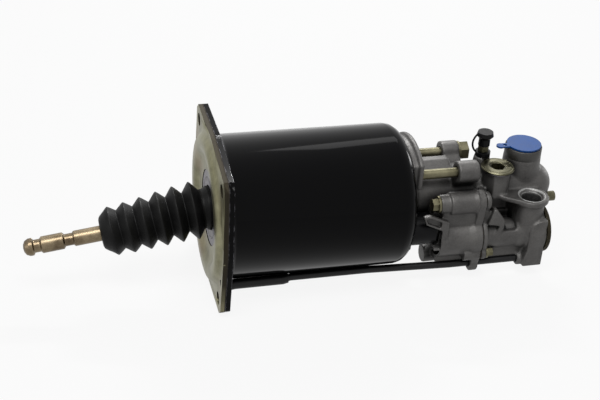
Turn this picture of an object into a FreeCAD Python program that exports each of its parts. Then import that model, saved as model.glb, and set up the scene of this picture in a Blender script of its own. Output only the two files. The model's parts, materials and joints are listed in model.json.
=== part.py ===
import FreeCAD, Part
import Sketcher
import math
import os
import re

V = FreeCAD.Vector
doc = FreeCAD.newDocument("clutch_servo")
PIECES = []

# Every driving size, in millimetres or degrees. +X runs from the mounting flange to the
# hydraulic end, +Z is up, and the origin is the centre of the flange's front face.
SIZES = {
    # air cylinder and its mounting flange
    "can_outer_r": 57.5, "can_wall": 2.5, "can_rear_x": 157.0, "can_shoulder": 12.0,
    "plate_thick": 3.0, "gasket_thick": 0.8, "flange_thick": 4.0,
    "flange_side_margin": 4.0, "flange_round_margin": 8.5, "flange_corner_margin": 25.5, "flange_turn": 4.0,
    "mount_circle_margin": 14.0, "mount_hole_r": 5.25,
    "plate_hole_r": 30.5, "bead_height": 2.0, "bead_inner_r": 39.0, "bead_margin": 3.5,
    "flange_root": 4.0, "rear_hole_r": 24.9, "slip_gap": 0.05, "free_gap": 0.3,
    # push rod, its screwed tip and the ball joint
    "ball_x": 31.0, "rod_droop": 7.6, "ball_r": 9.0, "rod_r": 6.1, "rod_length": 138.0,
    "neck_r": 4.8, "neck_length": 6.3, "tip_body_r": 6.6, "tip_body_length": 19.2,
    "tip_groove_r": 5.1, "tip_groove_length": 4.5, "tip_dome_length": 8.6, "tip_dome_r": 6.9,
    "tip_thread_depth": 16.0,
    # boot
    "boot_wall": 1.5, "boot_peak_big": 22.9, "boot_peak_small": 19.2, "boot_valley_r": 14.6,
    "boot_folds": 6.0, "boot_collar_r": 12.6, "boot_end": 88.0,
    "retainer_inner_r": 24.6, "retainer_skirt": 1.3, "retainer_rear_x": 10.0,
    # air piston and the parts it carries
    "piston_clearance": 0.4, "piston_web_x": 34.0, "piston_rear_x": 45.0, "piston_skirt_wall": 5.0,
    "hub_r": 18.0, "hub_front_x": 17.0, "hub_rear_x": 57.0, "rear_hub_r": 15.0,
    "seal_front_x": 36.5, "seal_width": 5.5, "seal_depth": 5.0,
    "guide_front_x": 12.0, "guide_width": 8.0, "guide_depth": 2.6,
    "cup_r": 12.5, "cup_front_x": 21.0, "cup_rear_x": 42.0, "cup_mouth_r": 8.6,
    "clip_width": 1.4, "clip_depth": 1.2,
    "plunger_r": 10.0, "plunger_pin_r": 7.0, "plunger_end_x": 205.0,
    # spring behind the piston and the ring that the tie bolts screw into
    "spring_mean_r": 37.0, "spring_wire_r": 1.6, "spring_turns": 7.0,
    "clamp_front_x": 146.5, "clamp_inner_r": 27.0, "clamp_margin": 12.0,
    # hydraulic cylinder on the main axis
    "spigot_front_x": 147.5, "ear_front_x": 157.0, "ear_rear_x": 166.0, "ear_r": 49.0, "ear_rim": 3.2,
    "ear_floor": 3.0, "ear_flat_y": -29.0, "barrel_r": 20.5, "barrel_step_x": 214.0,
    "rear_barrel_r": 18.0, "dome_x": 271.5, "fluid_bore_r": 11.5, "fluid_bore_x": 272.0,
    "gland_r": 15.0, "gland_rear_x": 170.0, "rod_seal_width": 6.0,
    "end_screw_y": -8.0, "end_screw_z": -11.0, "end_screw_r": 4.2, "end_screw_x": 286.0,
    "end_screw_end_x": 293.0,
    # tie bolts; the front one is a stud screwed into a closed lug
    "tie_circle_r": 33.0, "tie_angle": 36.5, "tie_r": 4.0, "tie_lug_r": 9.0, "stud_lug_x": 196.8,
    "tie_lug_x": 199.5, "tie_head_x": 214.5, "tie_head_height": 7.0, "tie_head_r": 8.2,
    "tie_washer_thick": 1.8, "tie_tip_x": 148.5,
    # bleed screw, hexagon plug and capped inlet
    "bleed_x": 226.4, "bleed_seat_z": 29.4, "bleed_boss_r": 6.5, "bleed_ring_r": 6.2,
    "bleed_ring_height": 3.6, "bleed_hex_r": 4.8, "bleed_nipple_r": 3.4, "bleed_top_z": 50.6,
    "strap_bend_r": 10.6, "strap_r": 0.8,
    "plug_x": 235.0, "plug_y": -14.0, "plug_boss_r": 12.3, "plug_seat_z": 22.6, "plug_head_r": 12.4,
    "plug_head_height": 3.4, "plug_thread_r": 8.0, "plug_socket_r": 5.2,
    "inlet_x": 262.0, "inlet_boss_r": 14.8, "inlet_top_z": 36.2, "inlet_collar": 9.0,
    "inlet_draft": 1.6, "inlet_thread_r": 9.0, "cap_disc_r": 14.1, "cap_disc_thick": 1.4,
    # open port on the control valve
    "port_x": 261.8, "port_y": -29.0, "port_z": 4.7, "port_flange_r": 14.3, "port_flange_thick": 4.0,
    "port_body_r": 11.6, "port_thread_r": 8.0, "port_depth": 14.0, "port_chamfer": 2.6,
    "port_tip_x": 228.5, "port_tip_y": -19.0,
    # control valve below the hydraulic cylinder
    "valve_y": -25.0, "valve_z": -29.5, "shell_r": 17.0, "shell_front_x": 183.0, "shell_wall": 2.2,
    "mouth_floor_x": 191.0, "shell_bore_r": 12.0, "shell_bore_x": 194.5,
    "joint_x": 218.4, "joint_flange_r": 18.6, "joint_flange_thick": 6.4, "joint_gasket": 0.8,
    "neck_body_r": 14.0, "valve_end_x": 274.0, "valve_end_r": 20.0, "valve_bore_r": 10.0,
    "valve_bore_x": 268.0, "cap_thick": 3.0, "mate_thick": 4.5,
    "screw_top_y": -31.0, "screw_top_z": 4.6, "screw_boss_r": 9.3, "screw_collar_r": 7.7,
    "screw_top_x": 181.1, "screw_step_x": 189.1, "mate_boss_r": 7.5,
    "screw_low_y": -37.2, "screw_low_z": -41.6, "screw_low_r": 5.4,
    "screw_back_y": -16.0, "screw_back_z": -51.3, "screw_back_r": 7.5, "screw_back_x": 177.0,
    "screw_r": 3.0, "screw_head_r": 5.4, "screw_head_height": 4.6,
    "screw_flange_thick": 1.8, "small_screw_r": 2.0, "small_head_r": 3.7,
    "arm_rear_y": -37.0, "arm_thick": 4.0, "rib_thick": 2.4,
    # air sleeve between can and valve, and the breather pipe
    "sleeve_y": -25.0, "sleeve_z": -21.0, "sleeve_r": 13.0, "sleeve_bore_r": 7.5, "sleeve_end_x": 179.5,
    "air_hole_r": 3.4,
    "pipe_gap": 2.1, "pipe_angle": 58.19, "pipe_r": 3.0, "pipe_wall": 0.8, "pipe_eye_r": 6.8,
    "pipe_boss_r": 5.9, "pipe_boss_x": 254.0, "pipe_end_x": 262.0, "pipe_sleeve_r": 4.2,
    "pipe_sleeve_end_x": 62.0, "block_front_x": 259.5, "block_front_y": -43.0,
    "block_top_z": -13.0, "block_rear_y": -12.0, "block_foot": 3.0,
    # moving parts of the control valve
    "relay_front_x": 226.0, "relay_rear_x": 250.0, "relay_nose_r": 3.0, "relay_nose_x": 208.0,
    "seat_front_x": 207.0, "seat_rear_x": 213.0, "seat_hole_r": 5.0,
    "poppet_r": 8.0, "poppet_thick": 3.0, "poppet_stem_r": 3.0, "poppet_stem_x": 196.0,
    "relay_spring_mean_r": 6.6, "relay_spring_wire_r": 0.7,
    "poppet_spring_mean_r": 6.0, "poppet_spring_wire_r": 0.6,
}

sheet = doc.addObject("Spreadsheet::Sheet", "Sizes")
for row, (alias, number) in enumerate(SIZES.items(), 1):
    sheet.set("A%d" % row, alias)
    sheet.set("B%d" % row, str(number))
    sheet.setAlias("B%d" % row, alias)
doc.recompute()

WORD = re.compile(r"[a-z]\w+")
LOOK = {
    "x": FreeCAD.Rotation(V(0, 1, 0), 90),
    "-x": FreeCAD.Rotation(V(0, 1, 0), -90),
    "y": FreeCAD.Rotation(V(1, 0, 0), -90),
    "z": FreeCAD.Rotation(),
}


def bound(text):
    """Expression text with every size name pointed at the spreadsheet."""
    return WORD.sub(lambda m: "Sizes." + m.group(0) if m.group(0) in SIZES else m.group(0), str(text))


probe = doc.addObject("Part::Vertex", "probe")


def value(text):
    """Number that an expression text has at present."""
    probe.setExpression("X", bound(text))
    probe.recompute()
    return probe.X.Value


def place(obj, at, look):
    """Turns a primitive's own axis to look along an axis and binds its position."""
    obj.Placement = FreeCAD.Placement(V(0, 0, 0), LOOK[look])
    for part, text in zip("xyz", at):
        obj.setExpression("Placement.Base." + part, bound(text))
    return obj


def rod(at, radius, length, look="x"):
    obj = doc.addObject("Part::Cylinder", "rod")
    obj.setExpression("Radius", bound(radius))
    obj.setExpression("Height", bound(length))
    return place(obj, at, look)


def cone(at, first, second, length, look="x"):
    obj = doc.addObject("Part::Cone", "cone")
    obj.setExpression("Radius1", bound(first))
    obj.setExpression("Radius2", bound(second))
    obj.setExpression("Height", bound(length))
    return place(obj, at, look)


def ball(at, radius):
    obj = doc.addObject("Part::Sphere", "ball")
    obj.setExpression("Radius", bound(radius))
    return place(obj, at, "z")


def hexagon(at, radius, length, look="x"):
    obj = doc.addObject("Part::Prism", "hexagon")
    obj.Polygon = 6
    obj.setExpression("Circumradius", bound(radius))
    obj.setExpression("Height", bound(length))
    return place(obj, at, look)


def block(low, high):
    obj = doc.addObject("Part::Box", "block")
    for side, first, last in zip(("Length", "Width", "Height"), low, high):
        obj.setExpression(side, bound("(%s) - (%s)" % (last, first)))
    return place(obj, low, "z")


def named(obj, label):
    obj.Label = label
    PIECES.append(obj)
    return obj


def fused(items, label=""):
    obj = doc.addObject("Part::MultiFuse", "fused")
    obj.Shapes = items
    obj.Refine = True
    return named(obj, label) if label else obj


def less(base, tools, label=""):
    obj = doc.addObject("Part::Cut", "less")
    obj.Base = base
    obj.Tool = tools[0] if len(tools) == 1 else fused(tools)
    obj.Refine = True
    return named(obj, label) if label else obj


def common(first, second):
    obj = doc.addObject("Part::Common", "common")
    obj.Base = first
    obj.Tool = second
    return obj


def group(items, label):
    obj = doc.addObject("Part::Compound", "group")
    obj.Links = items
    return named(obj, label)


def profile(points, label=""):
    """Solid of revolution about X whose closed outline runs through (x, radius) points."""
    body = doc.addObject("PartDesign::Body", "body")
    plane = [o for o in body.Origin.OriginFeatures if o.Role == "XZ_Plane"][0]
    sketch = body.newObject("Sketcher::SketchObject", "outline")
    sketch.AttachmentSupport = [(plane, "")]
    sketch.MapMode = "FlatFace"
    spots = [V(value(x), value(r), 0) for x, r in points]
    count = len(spots)
    lines = [Part.LineSegment(spots[i], spots[(i + 1) % count]) for i in range(count)]
    sketch.addGeometry(lines, False)
    for i in range(count):
        sketch.addConstraint(Sketcher.Constraint("Coincident", i, 2, (i + 1) % count, 1))
    for i, (x, r) in enumerate(points):
        for way, text, number, line in (("DistanceX", x, spots[i].x, -2), ("DistanceY", r, spots[i].y, -1)):
            if abs(number) < 1e-9:
                sketch.addConstraint(Sketcher.Constraint("PointOnObject", i, 1, line))
            else:
                index = sketch.addConstraint(Sketcher.Constraint(way, -1, 1, i, 1, number))
                sketch.setExpression("Constraints[%d]" % index, bound(text))
    doc.recompute()
    turn = body.newObject("PartDesign::Revolution", "turned")
    turn.Profile = sketch
    turn.ReferenceAxis = (sketch, ["H_Axis"])
    turn.Angle = 360
    sketch.Visibility = False
    return named(body, label) if label else body


def pad(points, level, thick, plane_role="XY_Plane"):
    """Prism with a closed outline: (x, y) points and height up, or (x, z) points and depth to -Y."""
    body = doc.addObject("PartDesign::Body", "body")
    plane = [o for o in body.Origin.OriginFeatures if o.Role == plane_role][0]
    sketch = body.newObject("Sketcher::SketchObject", "outline")
    sketch.AttachmentSupport = [(plane, "")]
    sketch.MapMode = "FlatFace"
    spots = [V(value(x), value(y), 0) for x, y in points]
    count = len(spots)
    lines = [Part.LineSegment(spots[i], spots[(i + 1) % count]) for i in range(count)]
    sketch.addGeometry(lines, False)
    for i in range(count):
        sketch.addConstraint(Sketcher.Constraint("Coincident", i, 2, (i + 1) % count, 1))
    for i, (x, y) in enumerate(points):
        for way, text, number in (("DistanceX", x, spots[i].x), ("DistanceY", y, spots[i].y)):
            index = sketch.addConstraint(Sketcher.Constraint(way, -1, 1, i, 1, number))
            sketch.setExpression("Constraints[%d]" % index, bound(text))
    doc.recompute()
    slab = body.newObject("PartDesign::Pad", "slab")
    slab.Profile = sketch
    slab.setExpression("Length", bound(thick))
    sketch.Visibility = False
    body.setExpression("Placement.Base." + ("z" if plane_role == "XY_Plane" else "y"), bound(level))
    return body


def upright(points, rear_y, thick):
    return pad(points, rear_y, thick, "XZ_Plane")


def strut(front_x, thick, start, end, width):
    """Straight web of even width that joins two axes running along X."""
    (y1, z1), (y2, z2) = start, end
    run = "(%s) - (%s)" % (y2, y1)
    rise = "(%s) - (%s)" % (z2, z1)
    angle = "atan2(%s; %s)" % (rise, run)
    obj = doc.addObject("Part::Box", "strut")
    obj.setExpression("Length", bound(thick))
    obj.setExpression("Width", bound("sqrt((%s)^2 + (%s)^2)" % (run, rise)))
    obj.setExpression("Height", bound(width))
    obj.Placement = FreeCAD.Placement(V(0, 0, 0), FreeCAD.Rotation(V(1, 0, 0), 1))
    obj.setExpression("Placement.Rotation.Angle", bound(angle))
    obj.setExpression("Placement.Base.x", bound(front_x))
    obj.setExpression("Placement.Base.y", bound("%s + (%s) / 2 * sin(%s)" % (y1, width, angle)))
    obj.setExpression("Placement.Base.z", bound("%s - (%s) / 2 * cos(%s)" % (z1, width, angle)))
    return obj


def slab(front_x, thick, hole_r, label=""):
    """Square flange blank with cut corners, rounded sides and four bolt holes, turned as fitted."""
    half = "(can_outer_r + flange_side_margin)"
    square = block((front_x, "-" + half, "-" + half), ("%s + %s" % (front_x, thick), half, half))
    corner = doc.addObject("Part::Prism", "corner")
    corner.Polygon = 4
    corner.setExpression("Circumradius", bound("(can_outer_r + flange_corner_margin) * sqrt(2)"))
    corner.setExpression("Height", bound(thick))
    place(corner, (front_x, "0", "0"), "x")
    blank = fused([common(square, corner), rod((front_x, "0", "0"), "can_outer_r + flange_round_margin", thick)])
    holes = [rod((front_x, "0", "0"), hole_r, thick)]
    reach = "(can_outer_r + mount_circle_margin) / sqrt(2)"
    for side in ("", "-"):
        for level in ("", "-"):
            holes.append(rod((front_x, side + reach, level + reach), "mount_hole_r", thick))
    obj = less(blank, holes)
    obj.Placement = FreeCAD.Placement(V(0, 0, 0), FreeCAD.Rotation(V(1, 0, 0), 1))
    obj.setExpression("Placement.Rotation.Angle", bound("flange_turn"))
    return named(obj, label) if label else obj


# Air cylinder, flange and cover.
PIPE_Y = "-(can_outer_r + pipe_gap + pipe_r) * cos(pipe_angle)"
PIPE_Z = "-(can_outer_r + pipe_gap + pipe_r) * sin(pipe_angle)"
gasket_x = "plate_thick"
flange_x = "plate_thick + gasket_thick"
can_inner = "can_outer_r - can_wall"
bead = profile([
    ("0", "bead_inner_r"), ("0", "can_outer_r + bead_margin"), ("bead_height", "can_outer_r + bead_margin - 5"),
    ("bead_height", "bead_inner_r + 9")])
bead.Placement = FreeCAD.Placement(V(0, 0, 0), FreeCAD.Rotation(V(0, 0, 1), 180))
fused([slab("0", "plate_thick", "plate_hole_r"), bead], "cover_plate")
less(slab(gasket_x, "gasket_thick", can_inner), [
    block((gasket_x, PIPE_Y + " - 2", PIPE_Z + " - 2"), (flange_x, PIPE_Y + " + 6", PIPE_Z + " + 9"))],
    "cover_gasket")

can_tube = profile([
    (flange_x, can_inner), ("can_rear_x - can_shoulder", can_inner),
    ("can_rear_x - can_shoulder * 0.293 - can_wall * 0.707",
     "can_outer_r - can_shoulder * 0.293 - can_wall * 0.707"),
    ("can_rear_x - can_wall", "can_outer_r - can_shoulder"), ("can_rear_x - can_wall", "rear_hole_r"),
    ("can_rear_x", "rear_hole_r"), ("can_rear_x", "can_outer_r - can_shoulder"),
    ("can_rear_x - can_shoulder * 0.076", "can_outer_r - can_shoulder * 0.617"),
    ("can_rear_x - can_shoulder * 0.293", "can_outer_r - can_shoulder * 0.293"),
    ("can_rear_x - can_shoulder * 0.617", "can_outer_r - can_shoulder * 0.076"),
    ("can_rear_x - can_shoulder", "can_outer_r"),
    ("plate_thick + gasket_thick + flange_thick + flange_root", "can_outer_r"),
    ("plate_thick + gasket_thick + flange_thick", "can_outer_r + flange_root"),
    (flange_x, "can_outer_r + flange_root")])

tie_spots = [
    ("tie_circle_r * cos(tie_angle)", "tie_circle_r * sin(tie_angle)"),
    ("-tie_circle_r * sin(tie_angle)", "tie_circle_r * cos(tie_angle)"),
    ("tie_circle_r * sin(tie_angle)", "-tie_circle_r * cos(tie_angle)")]
less(fused([slab(flange_x, "flange_thick", can_inner), can_tube]), [
    rod((flange_x, PIPE_Y, PIPE_Z), "pipe_r - pipe_wall", "flange_thick + flange_root"),
    rod((flange_x + " + flange_thick - 1", PIPE_Y, PIPE_Z), "pipe_r", "flange_root + 4"),
    block((flange_x, PIPE_Y + " - 2", PIPE_Z + " - 2"), (flange_x + " + 2", PIPE_Y + " + 6", PIPE_Z + " + 9")),
    rod(("can_rear_x - can_wall - 1", "sleeve_y", "sleeve_z"), "sleeve_bore_r - 1", "can_wall + 2")]
    + [rod(("can_rear_x - can_wall - 1", y, z), "tie_r + 0.4", "can_wall + 2") for y, z in tie_spots],
    "cylinder_can")

profile([
    ("0.5", "retainer_inner_r"), ("0.5", "plate_hole_r - slip_gap"),
    ("retainer_rear_x", "plate_hole_r - slip_gap"), ("retainer_rear_x", "plate_hole_r - 4.5"),
    ("retainer_rear_x - 1", "plate_hole_r - 4.5"),
    ("retainer_rear_x - 1", "plate_hole_r - slip_gap - retainer_skirt"),
    ("2", "plate_hole_r - slip_gap - retainer_skirt"), ("2", "retainer_inner_r")], "boot_retainer")


def along_rod(body):
    """Leads a turned piece from the ball centre out along the drooping rod."""
    body.Placement = FreeCAD.Placement(V(0, 0, 0), FreeCAD.Rotation(V(0, 1, 0), 170))
    body.setExpression("Placement.Rotation.Angle", bound("180 - rod_droop"))
    body.setExpression("Placement.Base.x", bound("ball_x"))
    return body


# Push rod and its tip, drawn along the rod from the ball centre.
neck_end = "rod_length + neck_length"
body_end = neck_end + " + tip_body_length"
dome_start = body_end + " + tip_groove_length"
tip_end = dome_start + " + tip_dome_length"
shank = profile([
    ("0", "0"), ("0", "rod_r"), ("rod_length - 1", "rod_r"), ("rod_length", "rod_r - 1"),
    ("rod_length", "neck_r + slip_gap"), ("rod_length - tip_thread_depth", "neck_r + slip_gap"),
    ("rod_length - tip_thread_depth - 2", "0")])
along_rod(shank)
named(fused([shank, ball(("ball_x", "0", "0"), "ball_r")]), "push_rod")
along_rod(profile([
    ("rod_length - tip_thread_depth + 0.5", "0"), ("rod_length - tip_thread_depth + 0.5", "neck_r"),
    (neck_end, "neck_r"), (neck_end + " + 1.5", "tip_body_r"), (body_end + " - 1.5", "tip_body_r"),
    (body_end, "tip_groove_r"), (dome_start, "tip_groove_r"), (dome_start + " + 1.2", "tip_dome_r"),
    (tip_end + " - 4.6", "tip_dome_r"), (tip_end + " - 1.9", "tip_dome_r * 0.8"),
    (tip_end + " - 0.5", "tip_dome_r * 0.45"), (tip_end, "0")], "rod_tip"))

# Air piston and what it carries.
bore_r = can_inner
piston_r = can_inner + " - piston_clearance"
groove_r = can_inner + " - seal_depth"
guide_r = can_inner + " - guide_depth"
skirt_r = can_inner + " - piston_clearance - piston_skirt_wall"
profile([
    ("plate_thick + free_gap", skirt_r), ("plate_thick + free_gap", piston_r + " - 1"),
    ("plate_thick + free_gap + 1", piston_r), ("guide_front_x", piston_r), ("guide_front_x", guide_r),
    ("guide_front_x + guide_width", guide_r), ("guide_front_x + guide_width", piston_r),
    ("seal_front_x", piston_r), ("seal_front_x", groove_r), ("seal_front_x + seal_width", groove_r),
    ("seal_front_x + seal_width", piston_r), ("piston_rear_x", piston_r),
    ("piston_rear_x", "rear_hub_r + 4"), ("piston_rear_x + 4", "rear_hub_r"),
    ("hub_rear_x", "rear_hub_r"), ("hub_rear_x", "plunger_pin_r"),
    ("piston_rear_x", "plunger_pin_r"), ("piston_rear_x", "0"), ("cup_rear_x", "0"),
    ("cup_rear_x", "cup_r"), ("cup_front_x", "cup_r"),
    ("cup_front_x", "cup_r + clip_depth"), ("cup_front_x - clip_width", "cup_r + clip_depth"),
    ("cup_front_x - clip_width", "cup_r"), ("hub_front_x", "cup_r"),
    ("hub_front_x", "hub_r - 1"), ("hub_front_x + 1", "hub_r"), ("piston_web_x", "hub_r + 3"),
    ("piston_web_x", skirt_r + " - 3"), ("piston_web_x - 3", skirt_r)], "air_piston")
profile([
    ("seal_front_x + slip_gap", groove_r + " + slip_gap"),
    ("seal_front_x + slip_gap", bore_r + " - 0.8"),
    ("seal_front_x + 1.5", bore_r + " - 0.4"),
    ("seal_front_x + seal_width - 0.8", bore_r + " - slip_gap"),
    ("seal_front_x + seal_width - slip_gap", bore_r + " - 0.6"),
    ("seal_front_x + seal_width - slip_gap", bore_r + " - 1.6"),
    ("seal_front_x + 2.4", bore_r + " - 2.4"),
    ("seal_front_x + seal_width - slip_gap", bore_r + " - 3.4"),
    ("seal_front_x + seal_width - slip_gap", groove_r + " + slip_gap")], "piston_seal")
profile([
    ("guide_front_x + slip_gap", guide_r + " + slip_gap"), ("guide_front_x + slip_gap", bore_r + " - slip_gap"),
    ("guide_front_x + guide_width - slip_gap", bore_r + " - slip_gap"),
    ("guide_front_x + guide_width - slip_gap", guide_r + " + slip_gap")], "guide_ring")
less(profile([
    ("cup_front_x + slip_gap", "0"), ("cup_front_x + slip_gap", "cup_r - slip_gap"),
    ("cup_rear_x - slip_gap", "cup_r - slip_gap"), ("cup_rear_x - slip_gap", "0")]), [
    ball(("ball_x", "0", "0"), "ball_r + slip_gap"),
    cone(("cup_front_x", "0", "0"), "cup_mouth_r + 1", "cup_mouth_r - 1.6", "5")], "ball_cup")
less(profile([
    ("cup_front_x - clip_width + slip_gap", "cup_r - 2"),
    ("cup_front_x - clip_width + slip_gap", "cup_r + clip_depth - slip_gap"),
    ("cup_front_x - slip_gap", "cup_r + clip_depth - slip_gap"), ("cup_front_x - slip_gap", "cup_r - 2")]), [
    block(("cup_front_x - clip_width - 1", "-3", "0"), ("cup_front_x + 1", "3", "cup_r + 5"))], "cup_clip")
profile([
    ("piston_rear_x + slip_gap", "0"), ("piston_rear_x + slip_gap", "plunger_pin_r - slip_gap"),
    ("hub_rear_x + slip_gap", "plunger_pin_r - slip_gap"), ("hub_rear_x + slip_gap", "plunger_r - 1"),
    ("hub_rear_x + 1", "plunger_r"), ("plunger_end_x - 3", "plunger_r"),
    ("plunger_end_x", "plunger_r - 2"), ("plunger_end_x", "0")], "plunger")

# Clamp ring, seal stack and housing of the hydraulic cylinder.
less(profile([
    ("clamp_front_x", "clamp_inner_r"), ("clamp_front_x", can_inner + " - clamp_margin"),
    ("can_rear_x - can_wall", can_inner + " - clamp_margin"), ("can_rear_x - can_wall", "clamp_inner_r")]),
    [rod(("clamp_front_x - 1", y, z), "tie_r + slip_gap", "12") for y, z in tie_spots]
    + [rod(("clamp_front_x - 1", "sleeve_y", "sleeve_z"), "sleeve_bore_r - 1", "12")], "clamp_ring")
gland = "gland_r - slip_gap"
profile([
    ("spigot_front_x + 3.2", "plunger_r + slip_gap"), ("spigot_front_x + 3.2", gland),
    ("gland_rear_x - rod_seal_width", gland),
    ("gland_rear_x - rod_seal_width", "plunger_r + slip_gap")], "guide_bush")
profile([
    ("gland_rear_x - rod_seal_width + slip_gap", "plunger_r + slip_gap"),
    ("gland_rear_x - rod_seal_width + slip_gap", gland), ("gland_rear_x - slip_gap", gland),
    ("gland_rear_x - slip_gap", "gland_r - 1.8"), ("gland_rear_x - 3.5", "gland_r - 2.3"),
    ("gland_rear_x - slip_gap", "plunger_r + 1.6"),
    ("gland_rear_x - slip_gap", "plunger_r + 0.4")], "rod_seal")
less(profile([
    ("spigot_front_x + 1.8 + slip_gap", "gland_r - 2.5"),
    ("spigot_front_x + 1.8 + slip_gap", "gland_r + clip_depth - slip_gap"),
    ("spigot_front_x + 3.2 - slip_gap", "gland_r + clip_depth - slip_gap"),
    ("spigot_front_x + 3.2 - slip_gap", "gland_r - 2.5")]), [
    block(("spigot_front_x", "-4", "0"), ("spigot_front_x + 4", "4", "gland_r + 5"))], "seal_clip")

# Main casting.
rear_x = "joint_x + joint_gasket"
stud = tie_spots[1]
valve = ("valve_y", "valve_z")
top_screw = ("screw_top_y", "screw_top_z")
low_screw = ("screw_low_y", "screw_low_z")
back_screw = ("screw_back_y", "screw_back_z")
pipe = (PIPE_Y, PIPE_Z)
ear_thick = "ear_rear_x - ear_front_x"
ear_pocket = less(rod(("ear_front_x + ear_floor", "0", "0"), "ear_r - ear_rim", ear_thick), [
    rod(("ear_front_x", "0", "0"), "barrel_r + ear_rim", "ear_rear_x"),
    block(("ear_front_x", "-ear_r", "-ear_r"), ("ear_rear_x + 9", "ear_flat_y + ear_rim", "ear_r")),
    block(("ear_front_x", "-ear_r", "-ear_r"), ("ear_rear_x + 9", "ear_r", "0")),
    strut("ear_front_x", "20", ("0", "0"), ("0", "ear_r"), "ear_rim")]
    + [strut("ear_front_x", "20", ("0", "0"), spot, "tie_r * 2 + ear_rim * 2") for spot in tie_spots[:2]]
    + [rod(("ear_front_x", y, z), "tie_r + ear_rim", "20") for y, z in tie_spots])
ear = less(rod(("ear_front_x + slip_gap", "0", "0"), "ear_r", ear_thick + " - slip_gap"), [
    block(("ear_front_x - 1", "-60", "-60"), ("ear_rear_x + 1", "ear_flat_y", "60")),
    block(("ear_front_x - 1", "-60", "-60"), ("ear_rear_x + 1", "-barrel_r", "18")),
    rod(("ear_front_x - 1", "sleeve_y", "sleeve_z"), "sleeve_r + 1", "20"), ear_pocket])
lugs = []
for number, (y, z) in enumerate(tie_spots):
    front = "stud_lug_x" if number == 1 else "tie_lug_x"
    lugs.append(rod((front, y, z), "tie_lug_r", "tie_head_x - " + front))
    lugs.append(strut(front, "tie_head_x - " + front, ("0", "0"), (y, z), "tie_lug_r * 1.5"))
port_plate = pad([
    ("port_tip_x", "port_tip_y - 2"), ("port_x - port_flange_r * 0.35", "port_y - port_flange_r * 0.93"),
    ("port_x + port_flange_r * 0.6", "port_y + port_flange_r * 0.9"), ("port_x + port_flange_r * 0.6", "0"),
    ("port_tip_x + 3", "0")], "port_z - port_flange_thick", "port_flange_thick")
gusset = upright([
    (rear_x + " + 3.6", "valve_z + 14.5"), (rear_x + " + 7.2", "port_z - port_flange_thick - 1"),
    (rear_x + " + 10", "port_z - port_flange_thick - 1.5"), (rear_x + " + 18.8", "valve_z + 17"),
    (rear_x + " + 18", "valve_z + 9"), (rear_x + " + 13", "valve_z + 2"),
    (rear_x + " + 10", "valve_z + 2"), (rear_x + " + 14.3", "valve_z + 13")], "valve_y - 8", "6")
block_base = PIPE_Z + " - block_foot"
port_block = upright([
    ("block_front_x + 8", "block_top_z"), ("block_front_x + 2.5", "block_top_z - 3"),
    ("block_front_x", "block_top_z - 10"), ("block_front_x", "block_top_z - 29"),
    ("block_front_x - 2.5", "block_top_z - 38"), ("block_front_x - 2.5", block_base),
    ("valve_end_x", block_base), ("valve_end_x", "block_top_z")],
    "block_rear_y", "block_rear_y - block_front_y")
casting = fused([
    ear, port_plate, gusset, port_block,
    rod(("spigot_front_x", "0", "0"), "rear_hole_r - slip_gap", "ear_rear_x - spigot_front_x"),
    rod(("ear_front_x + 2", "0", "0"), "barrel_r", "barrel_step_x - ear_front_x - 2"),
    cone(("barrel_step_x", "0", "0"), "barrel_r", "rear_barrel_r", "4"),
    rod(("barrel_step_x", "0", "0"), "rear_barrel_r", "dome_x - barrel_step_x"),
    ball(("dome_x", "0", "0"), "rear_barrel_r"),
    rod(("dome_x", "end_screw_y", "end_screw_z"), "end_screw_r + 1.6", "end_screw_x - dome_x"),
    cone(("bleed_x", "0", "0"), "bleed_boss_r + 4", "bleed_boss_r", "bleed_seat_z", "z"),
    hexagon(("plug_x", "plug_y", "valve_z + 20"), "plug_boss_r", "plug_seat_z - valve_z - 20", "z"),
    rod(("inlet_x", "0", "0"), "inlet_boss_r", "inlet_top_z", "z"),
    cone(("inlet_x", "0", "0"), "inlet_boss_r + inlet_draft", "inlet_boss_r + 0.5",
         "inlet_top_z - inlet_collar", "z"),
    rod(("port_x", "port_y", "port_z - port_flange_thick"), "port_flange_r", "port_flange_thick", "z"),
    cone(("port_x", "port_y", "port_z - port_flange_thick - 2.5"), "port_body_r", "port_flange_r", "2.5", "z"),
    rod(("port_x", "port_y", "valve_z"), "port_body_r", "port_z - valve_z - 2", "z"),
    ball(("port_x - 4", "valve_y", "valve_z"), "neck_body_r + 1.5"),
    rod((rear_x, "valve_y", "valve_z"), "neck_body_r", "valve_end_x - joint_x - joint_gasket"),
    rod((rear_x, "valve_y", "valve_z"), "joint_flange_r - 1.2", "mate_thick"),
    rod((rear_x,) + top_screw, "mate_boss_r", "mate_thick"),
    strut(rear_x, "mate_thick", valve, top_screw, "mate_boss_r * 1.6"),
    strut(rear_x, "mate_thick", ("0", "0"), top_screw, "mate_boss_r * 1.6"),
    rod((rear_x,) + low_screw, "screw_low_r", "mate_thick"),
    rod((rear_x,) + back_screw, "screw_back_r", "mate_thick"),
    strut(rear_x, "mate_thick", valve, back_screw, "screw_back_r * 1.7"),
    rod(("valve_end_x - 12", "valve_y", "valve_z"), "valve_end_r", "12"),
    block((rear_x, "valve_y", "valve_z"), ("valve_end_x - 4", "-6", "0")),
    block((rear_x, "valve_y - 9", "valve_z - 18"), ("block_front_x + 4", "valve_y + 7", "valve_z - 8")),
    rod(("pipe_boss_x",) + pipe, "pipe_boss_r", "valve_end_x - pipe_boss_x")] + lugs)
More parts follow.
